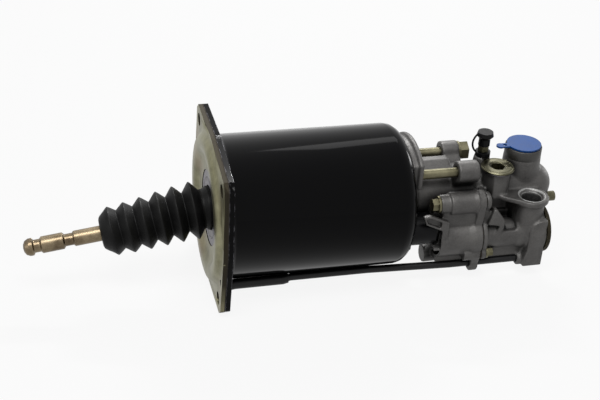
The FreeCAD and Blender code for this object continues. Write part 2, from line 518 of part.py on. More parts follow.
less(casting, [
    rod(("spigot_front_x - 1", "0", "0"), "gland_r", "gland_rear_x - spigot_front_x + 1"),
    rod(("spigot_front_x + 1.8", "0", "0"), "gland_r + clip_depth", "1.4"),
    rod(("gland_rear_x - 1", "0", "0"), "fluid_bore_r", "fluid_bore_x - gland_rear_x + 1"),
    rod(("bleed_x", "0", "0"), "2", "bleed_seat_z + 1", "z"),
    rod(("bleed_x", "0", "bleed_seat_z - 10"), "bleed_nipple_r + slip_gap", "11", "z"),
    rod(("plug_x", "plug_y", "plug_seat_z - 15"), "plug_thread_r + slip_gap", "16", "z"),
    rod(("plug_x", "plug_y", "plug_seat_z"), "plug_head_r + 0.4", "10", "z"),
    rod(("ear_front_x - 1", "sleeve_y", "sleeve_z"), "sleeve_r + free_gap", "sleeve_end_x - ear_front_x + 4"),
    rod(("inlet_x", "0", "0"), "3", "inlet_top_z", "z"),
    rod(("inlet_x", "0", "inlet_top_z - 14"), "inlet_thread_r", "15", "z"),
    rod(("port_x", "port_y", "port_z - port_depth"), "port_thread_r", "port_depth + 1", "z"),
    cone(("port_x", "port_y", "port_z - port_chamfer"), "port_thread_r", "port_thread_r + port_chamfer",
         "port_chamfer", "z"),
    rod(("port_x", "port_y", "valve_z"), "3.5", "port_z - valve_z", "z"),
    rod((rear_x + " - 1", "valve_y", "valve_z"), "valve_bore_r + slip_gap", "relay_rear_x - joint_x + 0.3"),
    rod(("relay_rear_x", "valve_y", "valve_z"), "valve_bore_r - 2", "valve_bore_x - relay_rear_x"),
    rod(("valve_bore_x - 1", "valve_y", "valve_z"), "valve_end_r - 6", "valve_end_x - valve_bore_x + 2"),
    rod(("valve_end_x", "valve_y", "valve_z"), "valve_end_r + 0.6 + free_gap", "cap_thick + 1"),
    rod((rear_x + " - 1",) + top_screw, "screw_r + slip_gap", "mate_thick + 2"),
    rod((rear_x + " - 1",) + low_screw, "small_screw_r + slip_gap", "mate_thick + 2"),
    rod((rear_x + " + mate_thick",) + low_screw, "small_head_r * 1.28 + free_gap", "8"),
    rod((rear_x + " - 1",) + back_screw, "screw_r + slip_gap", "mate_thick + 2"),
    rod((rear_x + " + mate_thick",) + back_screw, "screw_head_r * 1.28 + free_gap", "10"),
    rod(("pipe_boss_x - 1",) + pipe, "pipe_r + slip_gap", "pipe_end_x - pipe_boss_x + 1"),
    rod(("pipe_end_x - 1",) + pipe, "pipe_r - pipe_wall", "5"),
    rod(("end_screw_x - 5", "end_screw_y", "end_screw_z"), "end_screw_r - 1 + slip_gap", "6"),
    rod(("end_screw_x", "end_screw_y", "end_screw_z"), "end_screw_r + free_gap", "9"),
    rod(("ear_front_x - 1",) + stud, "tie_r + 0.3", "tie_head_x - ear_front_x - 2")]
    + [rod(("tie_head_x", y, z), "tie_head_r + free_gap", "tie_head_height + tie_washer_thick + 1")
       for y, z in (tie_spots[0], tie_spots[2])]
    + [rod(("ear_front_x - 1", y, z), "tie_r + 0.3", "tie_head_x - ear_front_x + 2")
       for y, z in (tie_spots[0], tie_spots[2])], "servo_housing")

# Front casting of the control valve: a shell open at the front, ribbed inside its mouth.
flange_front = "joint_x - joint_flange_thick"
shell = profile([
    ("shell_front_x", "shell_r - shell_wall"), ("shell_front_x", "shell_r - 0.5"),
    ("shell_front_x + 0.5", "shell_r"), (flange_front + " - 4", "shell_r"),
    (flange_front, "joint_flange_r"), ("joint_x", "joint_flange_r"), ("joint_x", "shell_bore_r"),
    ("shell_bore_x", "shell_bore_r"), ("shell_bore_x", "0"), ("mouth_floor_x", "0"),
    ("mouth_floor_x", "shell_r - shell_wall")])
shell.setExpression("Placement.Base.y", bound("valve_y"))
shell.setExpression("Placement.Base.z", bound("valve_z"))
arm = upright([
    ("sleeve_end_x - 13.8", "screw_top_z - 5.4"), ("sleeve_end_x - 8", "screw_top_z - 4.6"),
    ("shell_front_x + 5", "valve_z + 22"), ("shell_front_x + 5", "valve_z + 5"),
    ("shell_front_x", "valve_z + 5"), ("shell_front_x", "valve_z + 14.5"),
    ("sleeve_end_x - 11", "valve_z + 21.5")],
    "arm_rear_y", "arm_thick")
rib_spots = [("valve_y - 4", "valve_z + 14"), ("valve_y - shell_r + shell_wall", "valve_z - 4"), back_screw]
rib_root = ("valve_y - 4", "valve_z - 1")
ribs = [strut("shell_front_x - 5", "mouth_floor_x - shell_front_x + 6", rib_root, spot, "rib_thick")
        for spot in rib_spots]
front_body = fused([
    shell, arm,
    rod(("screw_top_x",) + top_screw, "screw_collar_r", "joint_x - screw_top_x"),
    rod(("screw_step_x",) + top_screw, "screw_boss_r", "joint_x - screw_step_x"),
    cone((flange_front + " - 5",) + top_screw, "screw_boss_r - 1", "screw_boss_r + 1.4", "5"),
    strut("shell_front_x", "joint_x - shell_front_x", ("valve_y - 4", "valve_z"),
          ("screw_top_y - 1", "screw_top_z"), "screw_boss_r * 1.1"),
    strut(flange_front, "joint_flange_thick", valve, top_screw, "screw_boss_r * 2"),
    rod(("joint_x - 14",) + low_screw, "screw_low_r", "14"),
    rod(("screw_back_x",) + back_screw, "screw_back_r", "joint_x - screw_back_x"),
    strut("shell_front_x - 4", "joint_x - shell_front_x + 4", valve, back_screw, "rib_thick * 1.6"),
    strut(flange_front, "joint_flange_thick", valve, back_screw, "screw_back_r * 1.7"),
    rod((flange_front,) + pipe, "pipe_eye_r", "joint_flange_thick"),
    strut(flange_front, "joint_flange_thick", low_screw, pipe, "pipe_eye_r * 1.5"),
    rod(("sleeve_end_x - 8", "sleeve_y", "sleeve_z"), "sleeve_bore_r - slip_gap",
        "mouth_floor_x - sleeve_end_x + 9")] + ribs)
sleeve_cut = less(rod(("ear_front_x", "sleeve_y", "sleeve_z"), "sleeve_r + free_gap",
                      "sleeve_end_x + 0.2 - ear_front_x"),
                  [rod(("ear_front_x", "sleeve_y", "sleeve_z"), "sleeve_bore_r - slip_gap", "40")])
less(front_body, [
    rod(("ear_front_x", "0", "0"), "barrel_r + 0.6", "70"), sleeve_cut,
    rod(("shell_bore_x", "valve_y", "valve_z"), "shell_bore_r", "joint_x - shell_bore_x + 1"),
    rod(("sleeve_end_x - 9", "sleeve_y", "sleeve_z + 0.5"), "air_hole_r", "shell_bore_x - sleeve_end_x + 11"),
    rod(("screw_top_x - 1",) + top_screw, "screw_r + free_gap", "joint_x - screw_top_x + 2"),
    rod(("joint_x - 11",) + low_screw, "small_screw_r + slip_gap", "12"),
    rod(("joint_x - 11",) + back_screw, "screw_r + slip_gap", "12"),
    rod((flange_front + " - 1",) + pipe, "pipe_r + free_gap", "joint_flange_thick + 2")],
    "valve_housing")
less(fused([
    rod(("joint_x", "valve_y", "valve_z"), "joint_flange_r - 1.2", "joint_gasket"),
    rod(("joint_x",) + top_screw, "mate_boss_r", "joint_gasket"),
    rod(("joint_x",) + low_screw, "screw_low_r", "joint_gasket"),
    rod(("joint_x",) + back_screw, "screw_back_r", "joint_gasket"),
    strut("joint_x", "joint_gasket", valve, top_screw, "mate_boss_r * 1.6"),
    strut("joint_x", "joint_gasket", valve, back_screw, "screw_back_r * 1.7")]), [
    rod(("joint_x - 1", "valve_y", "valve_z"), "shell_bore_r", "3"),
    rod(("joint_x - 1", "0", "0"), "barrel_r + 0.6", "3"),
    rod(("joint_x - 1",) + top_screw, "screw_r + free_gap", "3"),
    rod(("joint_x - 1",) + low_screw, "small_screw_r + free_gap", "3"),
    rod(("joint_x - 1",) + back_screw, "screw_r + free_gap", "3")], "joint_gasket")

# Fasteners.
ties = []
headed = (tie_spots[0], tie_spots[2])
for y, z in headed:
    ties.append(fused([
        rod(("tie_tip_x", y, z), "tie_r", "tie_head_x + tie_washer_thick - tie_tip_x"),
        hexagon(("tie_head_x + tie_washer_thick", y, z), "tie_head_r", "tie_head_height")]))
ties.append(rod(("tie_tip_x",) + stud, "tie_r", "tie_head_x - 4 - tie_tip_x"))
group(ties, "tie_bolts")
group([less(rod(("tie_head_x", y, z), "tie_head_r", "tie_washer_thick - slip_gap"),
            [rod(("tie_head_x - 1", y, z), "tie_r + slip_gap", "4")]) for y, z in headed], "tie_washers")


def valve_screw(at, head_x, way, shank_r, head_r, length):
    """Hexagon screw with a flange under its head; way is 1 when the shank runs toward +X."""
    look = "x" if way > 0 else "-x"
    back = "-" if way > 0 else "+"
    under = "%s %s screw_flange_thick" % (head_x, back)
    return fused([
        rod((head_x,) + at, shank_r, length, look),
        rod((under,) + at, head_r + " * 1.28", "screw_flange_thick", look),
        hexagon(("%s %s screw_head_height" % (under, back),) + at, head_r, "screw_head_height", look)])


mate_x = rear_x + " + mate_thick"
group([valve_screw(top_screw, "screw_top_x", 1, "screw_r", "screw_head_r",
                   rear_x + " + mate_thick + 0.5 - screw_top_x"),
       valve_screw(low_screw, mate_x, -1, "small_screw_r", "small_head_r", "13"),
       valve_screw(back_screw, mate_x, -1, "screw_r", "screw_head_r", "13")], "valve_screws")

# Bleed screw and cap, plug, inlet cap, end screw.
hex_z = "bleed_seat_z + bleed_ring_height + 0.6"
less(fused([
    rod(("bleed_x", "0", "bleed_seat_z - 9"), "bleed_nipple_r", "15", "z"),
    hexagon(("bleed_x", "0", hex_z), "bleed_hex_r", "4.6", "z"),
    rod(("bleed_x", "0", hex_z), "bleed_nipple_r", "9", "z"),
    cone(("bleed_x", "0", hex_z + " + 9"), "bleed_nipple_r + 0.5", "bleed_nipple_r - 0.8", "5", "z")]), [
    rod(("bleed_x", "0", "bleed_seat_z - 6"), "1.2", "30", "z")], "bleed_screw")
strap = doc.addObject("Part::Torus", "strap")
strap.Angle3 = 120
strap.setExpression("Radius1", bound("strap_bend_r"))
strap.setExpression("Radius2", bound("strap_r"))
strap.Placement = FreeCAD.Placement(V(0, 0, 0), FreeCAD.Rotation(V(1, 0, 0), 90).multiply(
    FreeCAD.Rotation(V(0, 0, 1), 120)))
strap.setExpression("Placement.Base.x", bound("bleed_x + 0.6"))
strap.setExpression("Placement.Base.z", bound("bleed_top_z - 9.6"))
skirt_z = hex_z + " + 5.2"
less(fused([
    strap, rod(("bleed_x", "0", "bleed_seat_z + slip_gap"), "bleed_ring_r", "bleed_ring_height", "z"),
    cone(("bleed_x", "0", skirt_z), "bleed_hex_r", "bleed_hex_r - 0.2", "bleed_top_z - bleed_seat_z - 14.5", "z"),
    cone(("bleed_x", "0", "bleed_top_z - 6.2"), "bleed_hex_r - 0.4", "bleed_ring_r + 0.7", "3", "z"),
    cone(("bleed_x", "0", "bleed_top_z - 3.2"), "bleed_ring_r + 0.7", "bleed_ring_r", "3.2", "z")]), [
    rod(("bleed_x", "0", "bleed_seat_z - 1"), "bleed_nipple_r + slip_gap", "bleed_ring_height + 8", "z"),
    rod(("bleed_x", "0", hex_z), "bleed_nipple_r + 0.5 + slip_gap", "14.3", "z")], "bleed_cap")
less(fused([
    rod(("plug_x", "plug_y", "plug_seat_z - 13"), "plug_thread_r", "15", "z"),
    rod(("plug_x", "plug_y", "plug_seat_z + 1.2"), "plug_head_r", "plug_head_height - 1.2", "z"),
    cone(("plug_x", "plug_y", "plug_seat_z + plug_head_height"), "plug_head_r", "plug_head_r - 2", "1.4", "z")]), [
    hexagon(("plug_x", "plug_y", "plug_seat_z - 5"), "plug_socket_r", "20", "z")], "hex_plug")
less(rod(("plug_x", "plug_y", "plug_seat_z"), "plug_head_r - 0.6", "1.2 - slip_gap", "z"), [
    rod(("plug_x", "plug_y", "plug_seat_z - 1"), "plug_thread_r + slip_gap", "4", "z")], "plug_washer")
tab = less(fused([
    rod(("inlet_x - cap_disc_r - 7", "-1", "inlet_top_z"), "3.4", "cap_disc_thick", "z"),
    block(("inlet_x - cap_disc_r - 7", "-4", "inlet_top_z"),
          ("inlet_x - cap_disc_r + 3", "2", "inlet_top_z + cap_disc_thick"))]), [
    rod(("inlet_x - cap_disc_r - 3", "-1", "inlet_top_z - 1"), "1.6", "4", "z")])
less(fused([
    tab, rod(("inlet_x", "0", "inlet_top_z"), "cap_disc_r", "cap_disc_thick", "z"),
    rod(("inlet_x", "0", "inlet_top_z - 9"), "inlet_thread_r - slip_gap", "10", "z")]), [
    rod(("inlet_x", "0", "inlet_top_z - 10"), "inlet_thread_r - 2", "9", "z")], "inlet_cap")
less(fused([
    rod(("end_screw_x - 4", "end_screw_y", "end_screw_z"), "end_screw_r - 1", "5"),
    rod(("end_screw_x", "end_screw_y", "end_screw_z"), "end_screw_r", "end_screw_end_x - end_screw_x")]), [
    hexagon(("end_screw_end_x - 3", "end_screw_y", "end_screw_z"), "2.3", "4")], "end_screw")
less(fused([
    rod(("valve_end_x", "valve_y", "valve_z"), "valve_end_r + 0.6", "cap_thick"),
    rod(("valve_bore_x + 0.3", "valve_y", "valve_z"), "valve_end_r - 6 - slip_gap", "valve_end_x - valve_bore_x")]), [
    rod(("valve_bore_x", "valve_y", "valve_z"), "valve_end_r - 9", "5")], "rear_cap")

# Air sleeve, breather pipe and its sleeve.
less(rod(("can_rear_x", "sleeve_y", "sleeve_z"), "sleeve_r", "sleeve_end_x - can_rear_x"), [
    rod(("can_rear_x - 1", "sleeve_y", "sleeve_z"), "sleeve_bore_r", "30")], "air_sleeve")
pipe_front = flange_x + " + flange_thick - 1"
less(rod((pipe_front, PIPE_Y, PIPE_Z), "pipe_r - slip_gap", "pipe_end_x - slip_gap - 6.8"), [
    rod((pipe_front + " - 1", PIPE_Y, PIPE_Z), "pipe_r - pipe_wall", "300")], "breather_pipe")
less(rod((flange_x + " + flange_thick + flange_root", PIPE_Y, PIPE_Z), "pipe_sleeve_r",
         "pipe_sleeve_end_x - 12"), [
    rod(("0", PIPE_Y, PIPE_Z), "pipe_r", "100"),
    rod(("0", "0", "0"), "can_outer_r + 0.1", "100")], "pipe_sleeve")

# Moving parts of the control valve.
profile_valve = [
    ("relay_nose_x", "0"), ("relay_nose_x", "relay_nose_r"), ("relay_front_x", "relay_nose_r"),
    ("relay_front_x", "valve_bore_r"), ("relay_front_x + 12", "valve_bore_r"),
    ("relay_front_x + 12", "valve_bore_r - 2.5"), ("relay_front_x + 16", "valve_bore_r - 2.5"),
    ("relay_front_x + 16", "valve_bore_r"), ("relay_rear_x", "valve_bore_r"), ("relay_rear_x", "0")]


def on_valve(body):
    """Moves a turned piece onto the control valve's axis."""
    body.setExpression("Placement.Base.y", bound("valve_y"))
    body.setExpression("Placement.Base.z", bound("valve_z"))
    return body


on_valve(profile(profile_valve, "relay_piston"))
on_valve(profile([
    ("relay_front_x + 12 + slip_gap", "valve_bore_r - 2.5 + slip_gap"),
    ("relay_front_x + 12 + slip_gap", "valve_bore_r - 0.4"), ("relay_front_x + 14", "valve_bore_r"),
    ("relay_front_x + 16 - slip_gap", "valve_bore_r - 0.4"),
    ("relay_front_x + 16 - slip_gap", "valve_bore_r - 2.5 + slip_gap")], "relay_seal"))
on_valve(profile([
    ("seat_front_x", "seat_hole_r"), ("seat_front_x", "seat_hole_r + 1"),
    ("seat_front_x + 1", "seat_hole_r + 2"), ("seat_front_x + 1", "shell_bore_r - slip_gap"),
    ("seat_rear_x", "shell_bore_r - slip_gap"), ("seat_rear_x", "seat_hole_r")], "valve_seat"))
on_valve(profile([
    ("poppet_stem_x", "0"), ("poppet_stem_x", "poppet_stem_r"),
    ("seat_front_x - poppet_thick", "poppet_stem_r"), ("seat_front_x - poppet_thick", "poppet_r"),
    ("seat_front_x - slip_gap", "poppet_r"), ("seat_front_x - slip_gap", "0")], "poppet"))
doc.recompute()


def coil(label, mean, wire, start, end, turns, at=("0", "0")):
    """Closed-end coil spring along X between two levels."""
    r, w = value(mean), value(wire)
    first, last = value(start) + w, value(end) - w
    helix = Part.makeHelix((last - first) / turns, last - first, r)
    ring = Part.Wire(Part.makeCircle(w, V(r, 0, 0), V(0, 1, 0)))
    wire_shape = Part.Wire(helix.Edges).makePipeShell([ring], True, True)
    obj = doc.addObject("Part::Feature", "coil")
    obj.Shape = wire_shape
    obj.Placement = FreeCAD.Placement(V(first, value(at[0]), value(at[1])), LOOK["x"])
    return named(obj, label)


coil("preload_spring", "spring_mean_r", "spring_wire_r", "piston_rear_x + slip_gap", "clamp_front_x - slip_gap",
     SIZES["spring_turns"])
coil("relay_spring", "relay_spring_mean_r", "relay_spring_wire_r", "seat_rear_x + slip_gap",
     "relay_front_x - slip_gap", 4.0, ("valve_y", "valve_z"))
coil("poppet_spring", "poppet_spring_mean_r", "poppet_spring_wire_r", "shell_bore_x + slip_gap",
     "seat_front_x - poppet_thick - slip_gap", 4.0, ("valve_y", "valve_z"))

# Dust boot: rings along a drooping centre line, lofted outside and inside.
BOOT_END = value("boot_end")
DROOP = math.radians(value("rod_droop"))
COLLAR_START = BOOT_END - 6.0


def boot_ring(depth, radius):
    """Circle of the boot at a depth in front of the plate, its centre sinking in a shallow S."""
    share = max(depth, 0.0) / BOOT_END
    sink = math.tan(DROOP) * (value("ball_x") + BOOT_END) * (share - 0.045 * math.sin(2 * math.pi * share))
    tilt = DROOP * (0.55 + 0.65 * share) if depth > 3.0 else 0.0
    if depth >= COLLAR_START:
        sink = math.tan(DROOP) * (value("ball_x") + depth)
        tilt = DROOP
    return Part.Wire(Part.makeCircle(radius, V(-depth, 0, -sink), V(-math.cos(tilt), 0, -math.sin(tilt))))


neck = value("retainer_inner_r") - 0.6
bead_r = value("retainer_inner_r") + 4.2
bead_rear = -(value("retainer_rear_x") - 1 - value("slip_gap"))
bead_front = -(2 + value("slip_gap"))
wall = value("boot_wall")
grip = value("rod_r") + value("slip_gap")
folds = int(value("boot_folds"))
first = 5.2
pitch = (COLLAR_START - 3.0 - first) / folds
rings = [(bead_rear, bead_r, neck - 2.4), (bead_front - 0.2, bead_r, neck - 2.4),
         (bead_front - 0.05, neck, neck - 2.4), (first - 2.4, neck - 1.0, neck - 3.0)]
for k in range(folds):
    share = k / (folds - 1.0)
    middle = first + pitch * (k + 0.5)
    peak = value("boot_peak_big") * (1 - share) + value("boot_peak_small") * share
    valley = value("boot_valley_r") + 2.4 * (1 - share) ** 2
    rings += [(middle - 0.5 * pitch, valley, valley - wall * 1.6), (middle - 0.7, peak, peak - wall * 1.6),
              (middle + 0.7, peak, peak - wall * 1.6)]
tail_r = value("boot_collar_r")
rings += [(first + pitch * folds, value("boot_valley_r") - 2.0, value("boot_valley_r") - 2.0 - wall),
          (COLLAR_START - 1.0, tail_r, tail_r - wall), (COLLAR_START + 0.5, tail_r, grip), (BOOT_END, tail_r, grip)]
outside = Part.makeLoft([boot_ring(depth, r) for depth, r, _ in rings], True, True)
hollow = [(depth, r) for depth, _, r in rings]
hollow = [(hollow[0][0] - 0.5, hollow[0][1])] + hollow[1:-1] + [(BOOT_END + 0.5, grip)]
inside = Part.makeLoft([boot_ring(depth, r) for depth, r in hollow], True, True)
boot = doc.addObject("Part::Feature", "boot")
boot.Shape = outside.cut(inside)
named(boot, "dust_boot")

doc.removeObject(probe.Name)
doc.recompute()
for obj in doc.Objects:
    if "Invalid" in obj.State or "Error" in obj.State:
        raise RuntimeError("%s %s is not sound: %s" % (obj.Name, obj.Label, obj.State))
os.makedirs("parts", exist_ok=True)
for obj in PIECES:
    if obj.Shape.isNull() or not obj.Shape.isValid():
        raise RuntimeError("%s has no valid shape" % obj.Label)
    obj.Shape.exportStep("parts/%s.step" % obj.Label)
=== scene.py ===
"""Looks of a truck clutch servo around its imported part, in metres, in the part's own frame.

+X runs from the bolting flange to the valve end, +Z is up, and the origin is the centre of the
flange's front face. Shapes given in millimetres say so, and are scaled by MM.
"""

import json
import math

import bmesh
import bpy
import numpy as np
from mathutils import Matrix, Vector


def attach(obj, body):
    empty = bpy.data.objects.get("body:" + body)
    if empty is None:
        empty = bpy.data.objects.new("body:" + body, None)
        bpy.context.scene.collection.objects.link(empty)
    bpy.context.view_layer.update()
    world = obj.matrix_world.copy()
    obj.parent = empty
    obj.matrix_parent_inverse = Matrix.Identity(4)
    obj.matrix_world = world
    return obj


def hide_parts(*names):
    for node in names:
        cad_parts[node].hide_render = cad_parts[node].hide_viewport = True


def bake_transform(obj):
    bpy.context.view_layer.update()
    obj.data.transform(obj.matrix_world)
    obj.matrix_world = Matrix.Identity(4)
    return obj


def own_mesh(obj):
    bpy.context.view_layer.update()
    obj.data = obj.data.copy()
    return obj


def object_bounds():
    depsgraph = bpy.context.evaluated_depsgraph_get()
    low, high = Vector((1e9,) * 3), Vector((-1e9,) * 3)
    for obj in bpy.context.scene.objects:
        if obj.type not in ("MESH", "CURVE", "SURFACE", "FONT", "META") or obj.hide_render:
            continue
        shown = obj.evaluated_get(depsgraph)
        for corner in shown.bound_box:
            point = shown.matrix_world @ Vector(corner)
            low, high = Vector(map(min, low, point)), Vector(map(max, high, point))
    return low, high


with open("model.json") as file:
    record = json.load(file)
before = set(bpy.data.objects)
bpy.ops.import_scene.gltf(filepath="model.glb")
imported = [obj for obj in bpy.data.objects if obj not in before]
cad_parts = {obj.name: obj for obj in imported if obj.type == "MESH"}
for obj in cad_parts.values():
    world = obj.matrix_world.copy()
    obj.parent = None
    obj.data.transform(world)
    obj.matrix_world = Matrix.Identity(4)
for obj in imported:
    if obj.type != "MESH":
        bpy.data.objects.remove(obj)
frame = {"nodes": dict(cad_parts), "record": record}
cad_box = [[float(v) for v in corner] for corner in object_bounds()]
nodes = frame["nodes"]
MM = 0.001


class Finish:
    """One node material: a Principled shader fed by patterns in the piece's own coordinates."""

    SAMPLES_OF_EDGES = 4
    SAMPLES_OF_HOLLOWS = 8

    def __init__(self, name, colour, roughness, metallic=0.0):
        self.material = bpy.data.materials.new(name)
        self.material.use_nodes = True
        self.tree = self.material.node_tree
        self.shader = self.tree.nodes["Principled BSDF"]
        self.shader.inputs["Metallic"].default_value = metallic
        self.shader.inputs["Base Color"].default_value = (*colour, 1)
        self.shader.inputs["Roughness"].default_value = roughness
        self.place = self.make("ShaderNodeTexCoord").outputs["Object"]

    def make(self, kind, **inputs):
        """New node with the given inputs, each a value or another node's output."""
        node = self.tree.nodes.new(kind)
        for name, value in inputs.items():
            self.feed(node.inputs[name.replace("_", " ")], value)
        return node

    def feed(self, socket, value):
        if isinstance(value, bpy.types.NodeSocket):
            self.tree.links.new(value, socket)
        else:
            socket.default_value = value

    def set(self, **inputs):
        """Feeds the shader's own sockets."""
        for name, value in inputs.items():
            self.feed(self.shader.inputs[name.replace("_", " ")], value)

    def noise(self, scale, detail=3.0, roughness=0.55):
        return self.make("ShaderNodeTexNoise", Vector=self.place, Scale=scale, Detail=detail,
                         Roughness=roughness).outputs["Fac"]

    def cells(self, scale):
        return self.make("ShaderNodeTexVoronoi", Vector=self.place, Scale=scale).outputs["Distance"]

    def span(self, value, low, high, to_low=0.0, to_high=1.0):
        """Stretches the part of a pattern between low and high over a new range."""
        return self.make("ShaderNodeMapRange", Value=value, From_Min=low, From_Max=high,
                         To_Min=to_low, To_Max=to_high).outputs["Result"]

    def sums(self, first, second, how="ADD"):
        """Two patterns put together by one operation of the Math node."""
        node = self.tree.nodes.new("ShaderNodeMath")
        node.operation = how
        self.feed(node.inputs[0], first)
        self.feed(node.inputs[1], second)
        return node.outputs["Value"]

    def part(self, pattern, share):
        return self.sums(pattern, share, "MULTIPLY")

    def blend(self, share, first, second):
        """Colour between two colours, by a share."""
        node = self.tree.nodes.new("ShaderNodeMix")
        node.data_type = "RGBA"
        self.feed(node.inputs["Factor"], share)
        for name, value in (("A", first), ("B", second)):
            socket = [s for s in node.inputs if s.name == name and s.type == "RGBA"][0]
            self.feed(socket, value if isinstance(value, bpy.types.NodeSocket) else (*value, 1))
        return [s for s in node.outputs if s.type == "RGBA"][0]

    def rounded_normal(self, radius):
        node = self.make("ShaderNodeBevel", Radius=radius)
        node.samples = self.SAMPLES_OF_EDGES
        return node.outputs["Normal"]

    def true_normal(self):
        return self.tree.nodes.new("ShaderNodeNewGeometry").outputs["Normal"]

    def edges(self, radius):
        """0 on open faces, rising to 1 along outer and inner edges within a radius."""
        dot = self.tree.nodes.new("ShaderNodeVectorMath")
        dot.operation = "DOT_PRODUCT"
        self.feed(dot.inputs[0], self.rounded_normal(radius))
        self.feed(dot.inputs[1], self.true_normal())
        return self.span(dot.outputs["Value"], 0.995, 0.9)

    def recess(self, reach):
        """0 on open faces, rising to 1 in hollows and corners within a reach."""
        node = self.make("ShaderNodeAmbientOcclusion", Distance=reach)
        node.samples = self.SAMPLES_OF_HOLLOWS
        return self.span(node.outputs["AO"], 0.88, 0.3)

    def bump(self, height, strength, distance, edge_radius):
        """Relief of a height pattern over rounded edges. It ends the making of a material."""
        node = self.make("ShaderNodeBump", Height=height, Strength=strength, Distance=distance)
        self.feed(node.inputs["Normal"], self.rounded_normal(edge_radius))
        self.set(Normal=node.outputs["Normal"])
        return self.material


def scaled(colour, factor, lift=0.0):
    return tuple(min(1.0, c * factor + lift) for c in colour)


def plated(name, dark, light, roughness):
    """Zinc or steel surface: cloudy colour between two tones, fine grain and brighter edges."""
    edge_radius, edge_wear = 0.0004, 0.5
    f = Finish(name, light, roughness, 1.0)
    cloud = f.noise(60.0, 4.0, 0.6)
    fine = f.noise(900.0, 2.0, 0.7)
    tone = f.span(f.sums(cloud, f.part(fine, 0.25)), 0.42, 0.82)
    worn = f.part(f.edges(edge_radius), edge_wear)
    f.set(Base_Color=f.blend(worn, f.blend(tone, dark, light), scaled(light, 1.35)))
    f.set(Roughness=f.span(cloud, 0.3, 0.75, roughness - 0.08, roughness + 0.1))
    return f.bump(fine, 0.25, 0.00006, edge_radius)


def flange_zinc(name, dark, light, side_shade, tint, roughness):
    """Yellow-passivated plate: cloudy olive with tinted patches, and its side faces painted dark as
    shade.

    Faces are told from edges by the square of the normal's X part.
    """
    edge_roughness = 0.65
    f = Finish(name, light, roughness, 1.0)
    cloud = f.noise(60.0, 4.0, 0.6)
    fine = f.noise(900.0, 2.0, 0.7)
    tone = f.span(f.sums(cloud, f.part(fine, 0.25)), 0.42, 0.82)
    patches = f.span(f.noise(22.0, 3.0, 0.5), 0.52, 0.7, 0.0, 0.55)
    face = f.blend(patches, f.blend(tone, dark, light), tint)
    across = f.make("ShaderNodeSeparateXYZ", Vector=f.true_normal()).outputs["X"]
    flat = f.span(f.sums(across, across, "MULTIPLY"), 0.1, 0.5)
    # Side faces, told by the normal, are given a dark tone: painted shade.
    f.set(Base_Color=f.blend(flat, side_shade, face))
    f.set(Roughness=f.span(flat, 0.0, 1.0, edge_roughness, roughness))
    return f.bump(fine, 0.25, 0.00006, 0.0003)


def rubber(name, colour, roughness, dust=0.5):
    """Moulded rubber: faint mottling, pale bloom in patches and a fine matt grain."""
    f = Finish(name, colour, roughness)
    cloud = f.noise(90.0, 5.0, 0.6)
    fine = f.noise(2600.0, 2.0, 0.6)
    bloom = f.part(f.span(cloud, 0.45, 0.75), dust)
    f.set(Base_Color=f.blend(bloom, colour, scaled(colour, 2.0, 0.003)))
    f.set(Roughness=f.span(cloud, 0.3, 0.7, roughness - 0.08, roughness + 0.1))
    f.set(Specular_IOR_Level=0.12)
    return f.bump(f.sums(fine, f.part(cloud, 0.6)), 0.3, 0.00008, 0.0003)


def plastic(name, colour, roughness):
    """Moulded plastic: a slight orange-peel surface and softly varied gloss."""
    f = Finish(name, colour, roughness)
    cloud = f.noise(120.0, 3.0)
    peel = f.noise(900.0, 2.0)
    f.set(Base_Color=f.blend(f.span(cloud, 0.35, 0.7), scaled(colour, 0.85), colour))
    f.set(Roughness=f.span(cloud, 0.3, 0.7, roughness - 0.06, roughness + 0.08))
    f.set(Specular_IOR_Level=0.25)
    return f.bump(peel, 0.15, 0.00005, 0.0004)


def cast_metal(name, dark, light, edge_radius=0.0007, grain=0.4):
    """Cast aluminium: pebbled grain, painted shade in hollows, rubbed edges and a few small pits."""
    edge_wear, shade_reach, shade_share = 0.45, 0.012, 0.9
    f = Finish(name, light, 0.5, 0.55)
    cloud = f.noise(38.0, 5.0, 0.6)
    pebble = f.noise(750.0, 4.0, 0.65)
    pits = f.span(f.cells(420.0), 0.0, 0.18)
    tone = f.span(f.sums(f.part(cloud, 0.6), f.part(pebble, 0.4)), 0.3, 0.7)
    worn = f.part(f.edges(edge_radius), edge_wear)
    metal = f.blend(worn, f.blend(tone, dark, light), scaled(light, 1.5))
    # Hollows and corners are darkened by ambient occlusion towards a near-black tone: painted shade.
    f.set(Base_Color=f.blend(f.part(f.recess(shade_reach), shade_share), metal, scaled(dark, 0.1)))
    f.set(Roughness=f.span(pebble, 0.3, 0.7, 0.42, 0.6))
    return f.bump(f.sums(pebble, f.part(pits, 0.4)), grain, 0.00018, edge_radius)


def paint(name, colour, roughness):
    """Gloss enamel on steel: faint orange peel, dust specks, varied gloss and painted highlights in grey
    patches along its edges.
    """
    glint_grey = (0.4, 0.39, 0.43)
    f = Finish(name, colour, roughness)
    cloud = f.noise(25.0, 4.0, 0.6)
    peel = f.noise(330.0, 2.0)
    specks = f.span(f.noise(1500.0, 2.0, 0.7), 0.72, 0.8)
    # Grey patches along edges are painted highlights, like glints on the flange edges.
    edge_glints = f.sums(f.edges(0.0009), f.span(f.noise(170.0, 3.0), 0.47, 0.6), "MULTIPLY")
    dusted = f.blend(f.part(specks, 0.2), colour, scaled(colour, 3, 0.01))
    f.set(Base_Color=f.blend(f.part(edge_glints, 0.6), dusted, glint_grey))
    f.set(Roughness=f.span(cloud, 0.3, 0.75, roughness, roughness + 0.05))
    f.set(Specular_IOR_Level=0.06)
    return f.bump(peel, 0.03, 0.00005, 0.0005)


